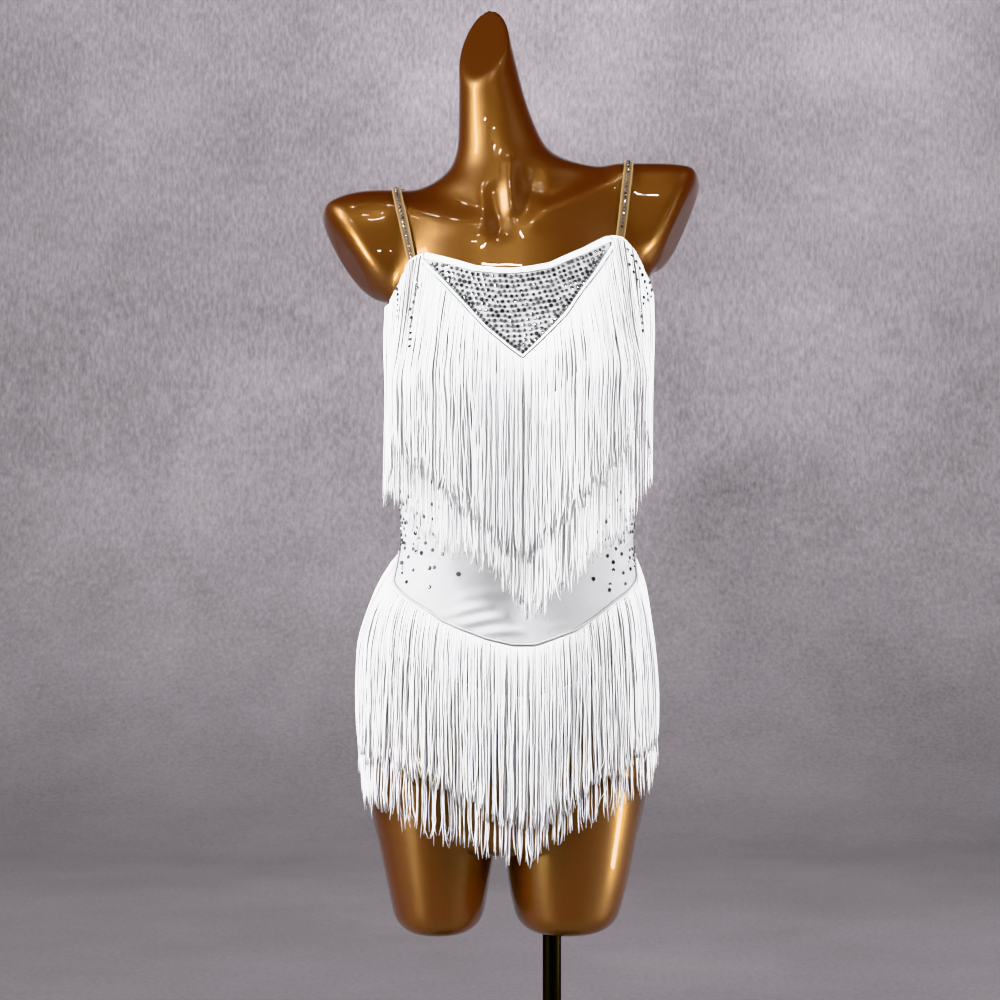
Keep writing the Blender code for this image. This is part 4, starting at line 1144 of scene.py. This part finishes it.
skirt_low = curtain(cloth_out, skirt_row, (SKIRT_LEAN, SKIRT_LEAN))
skirt_fringe_under = fringe(
    "skirt_fringe_under", (-180, 180), skirt_row, line(SKIRT_LOWER_FALLS), skirt_low, seed=13,
    per_metre=580, share=full_row, depth=0.0018, bow=skirt_bow, clump=0.55, closed=True,
)
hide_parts("skirt_fringe_lower")
over_low = layered(cloth_out, skirt_low, skirt_row, thick=0.0024)
skirt_high = curtain(over_low, seam, (SKIRT_LEAN, SKIRT_LEAN))
skirt_fringe_over = fringe(
    "skirt_fringe_over", (-180, 180), lambda d: seam(d) - 0.0006, line(SKIRT_FALLS), skirt_high,
    seed=14, per_metre=820, share=full_row, depth=0.0020, bow=lambda d: 1.5 * skirt_bow(d),
    clump=0.60, closed=True,
)
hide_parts("skirt_fringe_upper")

# ========================================
# The straps: skin-tone elastic 9.8 mm wide, sewn in under the front corners and under the back
# neckline, pulled taut over the shoulders, with one row of small stones down the middle.
# ========================================
STRAP_WIDTH, STRAP_THICK, STRAP_LIFT = 0.0098, 0.0011, 0.0008
# x, angle up from the back and height of the pivot: in front, on top and at the back
STRAPS = (
    (
        ("strap_left", "left_strap_elastic"),
        ((-0.1020, 216, 1.160), (-0.1225, 90, 1.150), (-0.0560, -61, 1.160)),
    ),
    (
        ("strap_right", "right_strap_elastic"),
        ((0.1055, 205, 1.170), (0.1165, 90, 1.160), (0.0560, -62, 1.165)),
    ),
)
PIVOT_Y, FARTHEST = 0.010, 0.20
elastic, tree, shader = fabric("strap_elastic", 0.5, 0.3, 0.3)
across, along = apart(tree, flat_map(tree))[:2]
picks = maths(tree, "MULTIPLY", ripples(tree, along, 900), 0.5)
woven = maths(tree, "ADD", ripples(tree, across, 1100), picks)
lighter = between(tree, 0.0, 1.0, maths(tree, "ABSOLUTE", across), (0.0026, 0.0042))
feed(
    shader,
    Base_Color=shades(tree, (0.16, 0.098, 0.042), (0.30, 0.20, 0.100), lighter),
    Normal=relief(tree, woven, 0.5, 0.0002),
)


def lengths(path):
    """The length of a path up to each of its points."""
    return np.concatenate([[0], np.cumsum(np.linalg.norm(np.diff(path, axis=0), axis=1))])


def strap_line(places, count=97):
    """Points down the strap's middle, its way across, its way out and the length up to each.

    Its pivots and angles are straight-line mixes of the three places; each point is where a ray
    from the pivot leaves the form, and the taut elastic spans the hollows between.
    """
    front, top, _ = places
    x, turn, pivot = (np.interp(np.linspace(0, 2, count), range(3), v) for v in zip(*places))
    dy, dz = np.cos(np.radians(turn)), np.sin(np.radians(turn))
    half = count // 2

    def on_ray(far):
        return np.stack([x, PIVOT_Y + far * dy, pivot + far * dz], -1)

    for _ in range(3):
        low, high = np.zeros(count), np.full(count, FARTHEST)
        p = on_ray(halved(lambda far: polished_field(*on_ray(far).T), low, high, 22)[0])
        # seen from the front it is straight: x runs evenly with height up to the top
        x = np.concatenate([np.interp(p[:half, 2], p[[0, half], 2], (front[0], top[0])), x[half:]])
    out = slope(form_field, p, 1e-3)
    for _ in range(6):
        out[1:-1] = (out[:-2] + out[1:-1] * 2 + out[2:]) / 4
    out = unit(out)
    for _ in range(240):  # taut: a point below the chord of its neighbours rises to it
        chord = (p[:-2] + p[2:]) / 2 - p[1:-1]
        lift = np.maximum((chord * out[1:-1]).sum(-1, keepdims=True), 0)
        p[1:-1] += out[1:-1] * lift * 0.9
    along = unit(np.gradient(p, axis=0))
    side = unit(np.cross(along, out))
    return p + [MIDDLE_X, 0, 0] + out * STRAP_LIFT, side, np.cross(side, along), lengths(p)


strap_rows = []
for (node, name), places in STRAPS:
    middle, side, out, run = strap_line(places)
    wide, deep = ring_corners(12, 0.45)
    wide, deep = wide * STRAP_WIDTH / 2, STRAP_THICK / 2 * (1 + deep)
    rings = middle[:, None] + side[:, None] * wide[:, None] + out[:, None] * deep[:, None]
    uv = np.stack(np.broadcast_arrays(wide[None], run[:, None]), -1)
    made = piece(name, *bodies(rings[None]), elastic, "strap_elastic", uv=uv, crease=60)
    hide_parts(node)
    strap_rows.append((middle + out * (STRAP_THICK - 0.0001), out, run))

# ========================================
# The stones: flat-backed crystal with silver foil, 3 to 5 mm across, glued on one by one: rows
# on the yoke, a row beside the V, one on each strap, and a scatter at the sides and the waist.
# ========================================
crystal, tree, shader = coated("foiled_crystal", Metallic=0.86, Roughness=0.10)
which = put(tree, "ShaderNodeAttribute", attribute_name="shade").outputs["Fac"]
feed(shader, Base_Color=shades(tree, (0.10, 0.102, 0.11), (0.56, 0.565, 0.59), which))


def stones(name, at, out, radius, seed, slot="cloth_white"):
    """Flat-backed stones: a low girdle, eight crown faces and a flat table, turned at random.

    Ring m of a stone is wide[m] times its radius wide and lies high[m] times its radius up, and
    the table's ring is turned half a face, so each crown face is two triangles.
    """
    rng = np.random.default_rng(seed)
    n = len(at)
    helper = np.where(np.abs(out[:, 2:3]) < 0.8, [[0, 0, 1.0]], [[1.0, 0, 0]])
    across = unit(np.cross(helper, out))
    up = np.cross(out, across)
    wide, high = (
        np.array(v)[None, :, None, None] for v in ((0.94, 1.0, 0.90, 0.52), (0.0, 0.12, 0.30, 0.56))
    )
    turn = np.array([0, 0, 0, 0.5])[None, :, None]
    a = (np.arange(8)[None, None, :] + turn) * math.pi / 4 + rng.uniform(0, 1, (n, 1, 1))
    tilt = rng.normal(0, 0.09, (n, 2))
    out = (out + across * tilt[:, :1] + up * tilt[:, 1:])[:, None, None]
    flat = across[:, None, None] * np.cos(a)[..., None] - up[:, None, None] * np.sin(a)[..., None]
    size = radius[:, None, None, None]
    rings = at[:, None, None] + flat * wide * size + out * high * size
    shade = np.broadcast_to(rng.random((n, 1)), (n, 32))
    return piece(name, *bodies(rings), crystal, slot, smooth=False, floats=[("shade", shade)])


def on_cloth(deg, z):
    """Points on the panels' outer face, a little glue off it, and the way it faces there."""
    u, e, glue = np.radians(deg), 0.004, 0.0001
    at = lambda u, z: place(u, z, reach(u, z, FACE_OUT))
    out = np.cross(at(u + e, z) - at(u - e, z), at(u, z + e) - at(u, z - e))
    return place(u, z, reach(u, z, FACE_OUT + glue)), unit(out)


def along_line(height, ends, pitch, shift=0.0):
    """Angles at even lengths along a line of the cut."""
    fine = np.linspace(*ends, 1501)
    u, z = np.radians(fine), height(fine)
    run = lengths(place(u, z, reach(u, z, FACE_OUT)))
    return np.interp(np.arange(pitch * (0.5 + shift), run[-1], pitch), run, fine)


rng = np.random.default_rng(21)
YOKE_SIZES, YOKE_MIX = (0.0016, 0.0019, 0.0022), (0.25, 0.45, 0.3)
rows = []
for k in range(20):
    height = lambda d, k=k: neckline(d) - 0.0092 - 0.0050 * k
    deg = along_line(height, (-55, 57.5), 0.0055, 0.5 * (k % 2))
    deg = deg + rng.normal(0, 0.24, len(deg))
    z = height(deg) + rng.normal(0, 0.00045, len(deg))
    keep = z > v_line(deg) + 0.0080
    rows.append([deg[keep], z[keep], rng.choice(YOKE_SIZES, keep.sum(), p=YOKE_MIX)])
deg, z, radius = np.concatenate(rows, 1)
yoke_stones = stones("yoke_stones", *on_cloth(deg, z), radius, seed=31)


def beside_v(d):
    """The line of stones inside the V."""
    return v_line(d) + 0.0060


deg = along_line(beside_v, (-52.5, 55.5), 0.0046)
radius = 0.0019 + 0.0002 * rng.random(len(deg))
v_stones = stones("v_stones", *on_cloth(deg, beside_v(deg)), radius, seed=32)

# stones at the waist, where the fringe leaves them in view, and in short chains down the
# armholes, where it is thin: tenths of a degree, height and radius in tenths of a millimetre
STONE_UNITS = (10, 1e4, 10)
WAIST_STONES = (
    (-514, 8961, 19), (-524, 8740, 19), (-488, 8710, 15), (-525, 8590, 17), (-527, 8439, 18),
    (-661, 8446, 21), (-635, 8386, 21), (-582, 8347, 19), (-675, 8284, 18), (-712, 8202, 19),
    (-607, 8246, 21), (-531, 8278, 18), (-466, 8239, 17), (-752, 8088, 17), (-644, 8073, 19),
    (-538, 8097, 19), (-360, 8041, 22), (-674, 7951, 19), (-517, 7908, 18), (781, 8454, 18),
    (674, 8355, 23), (634, 8286, 19), (575, 8217, 18), (681, 8234, 19), (761, 8190, 20),
    (606, 8075, 19), (477, 7989, 21), (675, 8042, 18), (750, 8078, 19), (681, 7930, 17),
    (567, 7876, 19), (505, 8459, 18),
)
ARMHOLE_STONES = (
    (-678, 10914, 19), (-670, 10858, 17), (-660, 10801, 19), (-656, 10742, 16), (-650, 10688, 18),
    (-648, 10628, 19), (-564, 10966, 17), (-549, 10908, 19), (-554, 10838, 17), (-552, 10762, 16),
    (-557, 10688, 19), (-536, 10606, 17), (-521, 10512, 18), (-508, 10444, 16), (-499, 10377, 19),
    (-489, 10308, 16), (640, 11302, 18), (655, 11242, 17), (670, 11184, 19), (686, 11122, 18),
    (700, 11057, 19), (716, 10992, 17), (724, 10930, 16), (729, 10868, 18), (731, 10809, 19),
    (660, 10630, 17), (669, 10698, 19), (684, 10762, 17), (696, 10830, 16), (678, 10932, 17),
    (662, 11002, 18), (650, 11080, 16), (636, 11152, 17), (765, 10992, 16), (783, 10920, 19),
    (772, 10850, 16), (654, 10562, 17), (645, 10484, 16),
)
glued = np.concatenate([WAIST_STONES, ARMHOLE_STONES]) / STONE_UNITS
scatter = [np.append(glued, np.arange(len(glued))[:, None] >= len(WAIST_STONES), axis=1)]
SCATTERED = 230
for side in (-1, 1):
    # down the side seams, thick at the waist and under the arm, and round onto the back
    deg = side * (90 + rng.normal(0, 17, SCATTERED))
    high = rng.choice([0.0, 1.0], SCATTERED, p=[0.55, 0.45]) > 0
    z = rng.normal(1.050, 0.022, SCATTERED), rng.normal(0.842, 0.028, SCATTERED)
    z = np.where(high, *z)
    loose = np.stack([deg % 360, z, rng.uniform(1.3, 2.2, SCATTERED), 0 * z], 1)
    front = (loose[:, 0] + 180) % 360 - 180
    top = np.where(np.abs(front) < 90, front_top(front), back_neck(loose[:, 0]))
    scatter.append(loose[(z < top - 0.010) & (z > seam(loose[:, 0]) + 0.008)])
scatter = np.concatenate(scatter)
spot = place(np.radians(scatter[:, 0]), scatter[:, 1], GIRTH_RADIUS)
kept = []
for k in range(len(spot)):  # none closer than 5.2 mm to one already glued
    if not kept or np.linalg.norm(spot[kept] - spot[k], axis=1).min() > 0.0052:
        kept.append(k)
deg, z, radius, over_fringe = scatter[kept].T
at, out = on_cloth(deg, z)
u = np.radians(deg)
on_cords = place(u, z, look_up(chest_high, u, z) + 0.0026)
at = np.where(over_fringe[:, None] > 0, on_cords, at)
side_stones = stones("side_stones", at, out, radius / 900, seed=33)  # a ninth over the list

at, out = [], []
for middle, way, run in strap_rows:
    where = np.arange(0.008, run[-1] - 0.012, 0.0038)
    for found, values in ((at, middle), (out, way)):
        found.append(np.stack([np.interp(where, run, v) for v in values.T], -1))
at, out = np.concatenate(at), np.concatenate(out)
radius = np.full(len(at), 0.0016)
strap_stones = stones("strap_stones", at, out, radius, seed=34, slot="strap_elastic")

# ========================================
# The room: a floor that curves up into a lilac-grey wall, with painted shade darkening it towards
# the floor, soft boxes in front and at the sides, and small lamps above for the sparkle. None of it
# is part of the object.
# ========================================
wall_paint_and_shade, tree, shader = coated("backdrop_paint", Roughness=0.9)
where = put(tree, "ShaderNodeTexCoord").outputs["Object"]
weave = put(tree, "ShaderNodeMapping", {"Vector": where, "Scale": (95.0, 95.0, 34.0)})
mottle, grain = (
    maths(tree, "MULTIPLY", value, 0.5)
    for value in (
        clouded(tree, where, 1.3, 6.0, Roughness=0.65),
        clouded(tree, weave.outputs["Vector"], 1.0, 3.0, Roughness=0.7),
    )
)
patch = between(tree, 0.0, 1.0, maths(tree, "ADD", mottle, grain), (0.30, 0.70))
paint = shades(tree, (0.125, 0.112, 0.122), (0.355, 0.328, 0.352), patch)
# painted shade: the floor and the foot of the wall are painted darker towards the floor
high = between(tree, 0.35, 1.0, apart(tree, where)["Z"], (0.0, 1.15))
feed(shader, Base_Color=shades(tree, (0.100, 0.090, 0.098), paint, high))
profile = eased([(-9.0, 0.0), (5.2, 0.0), (5.2, 7.0)], 1.6, 24)
x = np.linspace(-9.0, 9.0, 3)
grid = np.stack(np.broadcast_arrays(x[:, None], profile[None, :, 0], profile[None, :, 1]), -1)
index = np.arange(grid.shape[0] * grid.shape[1]).reshape(grid.shape[:2])
faces = np.stack([index[:-1, :-1], index[1:, :-1], index[1:, 1:], index[:-1, 1:]], -1)
backdrop = meshed("backdrop", grid, faces.reshape(-1, 4), wall_paint_and_shade)

# the rest of the room: dim, with broad bright places, most of all high on the left; each
# is strength * (cosine to its middle) ^ tightness
world = bpy.data.worlds.new("room")
bpy.context.scene.world = world
world.use_nodes = True
tree = world.node_tree
way = put(tree, "ShaderNodeTexCoord").outputs["Generated"]
bright = 0.02
for middle, strength, tightness in (
    ((-0.88, -0.33, 0.34), 3.2, 16.0),
    ((-0.82, -0.55, -0.10), 0.3, 24.0),
    ((0.67, -0.43, 0.60), 0.5, 18.0),
):
    facing = put(tree, "ShaderNodeVectorMath", {0: way, 1: middle}, operation="DOT_PRODUCT")
    lobe = maths(tree, "MAXIMUM", facing.outputs["Value"], 0.0)
    lobe = maths(tree, "MULTIPLY", maths(tree, "POWER", lobe, tightness), strength)
    bright = maths(tree, "ADD", bright, lobe)
feed(tree.nodes["Background"], Strength=bright)
tree.nodes["Background"].inputs["Color"].default_value = (1.0, 0.99, 0.98, 1)


def soft_box(name, where, aim, size, power, glossy=True, diffuse=True, spread=180):
    """A rectangular lamp that faces a point; `glossy` lamps are seen in polished surfaces, and
    `diffuse` ones light the matt ones. `spread` is the width of its beam in degrees."""
    lamp = bpy.data.lights.new(name, "AREA")
    lamp.shape, lamp.size, lamp.size_y, lamp.energy = "RECTANGLE", *size, power
    lamp.spread = math.radians(spread)
    obj = bpy.data.objects.new(name, lamp)
    bpy.context.scene.collection.objects.link(obj)
    dx, dy, dz = np.array(aim, float) - np.array(where, float)
    obj.location = where
    tip, heading = math.atan2(dz, math.hypot(dx, dy)), math.atan2(dy, dx)
    obj.rotation_euler = (math.pi / 2 + tip, 0, heading - math.pi / 2)
    obj.visible_camera = False
    obj.visible_glossy, obj.visible_diffuse = glossy, diffuse


soft_box("key", (-1.55, -1.25, 2.70), (-0.04, 0, 1.0), (0.8, 0.8), 31, glossy=False)
soft_box("right_fill", (2.25, -1.2, 1.75), (0.0, 0, 1.05), (0.8, 1.0), 128, glossy=False)
soft_box("left_fill", (-2.3, -1.0, 1.5), (0.0, 0, 1.05), (0.8, 1.0), 99, glossy=False)
soft_box("left_strip", (-2.20, -0.75, 1.95), (-0.08, 0, 1.27), (0.36, 1.0), 16)
soft_box(
    "left_low", (-1.95, -1.35, 0.40), (-0.20, 0, 1.19), (0.45, 0.7), 1.3, diffuse=False, spread=34
)
soft_box("right_low", (2.15, -1.00, 0.50), (0.05, 0, 0.75), (0.20, 0.8), 1.7)
soft_box(
    "right_floor", (1.10, -1.30, 0.12), (0.12, 0, 1.19), (0.30, 0.25), 0.40,
    diffuse=False, spread=30,
)
soft_box("right_thigh", (0.58, -0.02, 0.47), (0.07, 0, 0.5), (0.10, 0.30), 1.6, diffuse=False)
soft_box("back_fill", (0.9, 2.4, 2.2), (0, 0, 0.95), (1.2, 1.2), 45, glossy=False)
soft_box("wall_wash", (0, 2.4, 3.6), (0, 5.2, 1.6), (4.0, 0.8), 190)
# small lamps, each seen in the lacquer as one bright point: where, width and height
LAMPS = (
    (-0.47, -2.15, 2.25, 0.24, 0.03), (-0.66, -1.88, 2.59, 0.18, 0.03),
    (-0.05, -1.16, 3.25, 0.22, 0.04), (-0.25, -1.82, 2.72, 0.26, 0.04),
    (-1.03, -1.00, 3.21, 0.10, 0.05), (-0.36, -2.43, 1.18, 0.05, 0.05),
    (0.27, -2.36, 1.76, 0.06, 0.05), (0.77, -2.24, 1.92, 0.04, 0.08),
    (-1.50, -1.87, 1.93, 0.26, 0.03),
)
LAMP_POWER = 230  # watts for each square metre
for k, (x, y, z, wide, high) in enumerate(LAMPS):
    soft_box(f"lamp_{k}", (x, y, z), (-0.05, 0, 1.1), (wide, high), LAMP_POWER * wide * high)

# straight ahead, 2.6 m in front of the pole, level with the waist
camera = bpy.data.cameras.new("camera")
camera.sensor_width, camera.lens = 36.0, 90.87
camera_object = bpy.data.objects.new("camera", camera)
camera_object.location = (-0.05345, -2.6, 0.87805)
camera_object.rotation_euler = (math.pi / 2, 0, 0)
bpy.context.scene.collection.objects.link(camera_object)
bpy.context.scene.camera = camera_object
bpy.context.scene.view_settings.view_transform = "Khronos PBR Neutral"
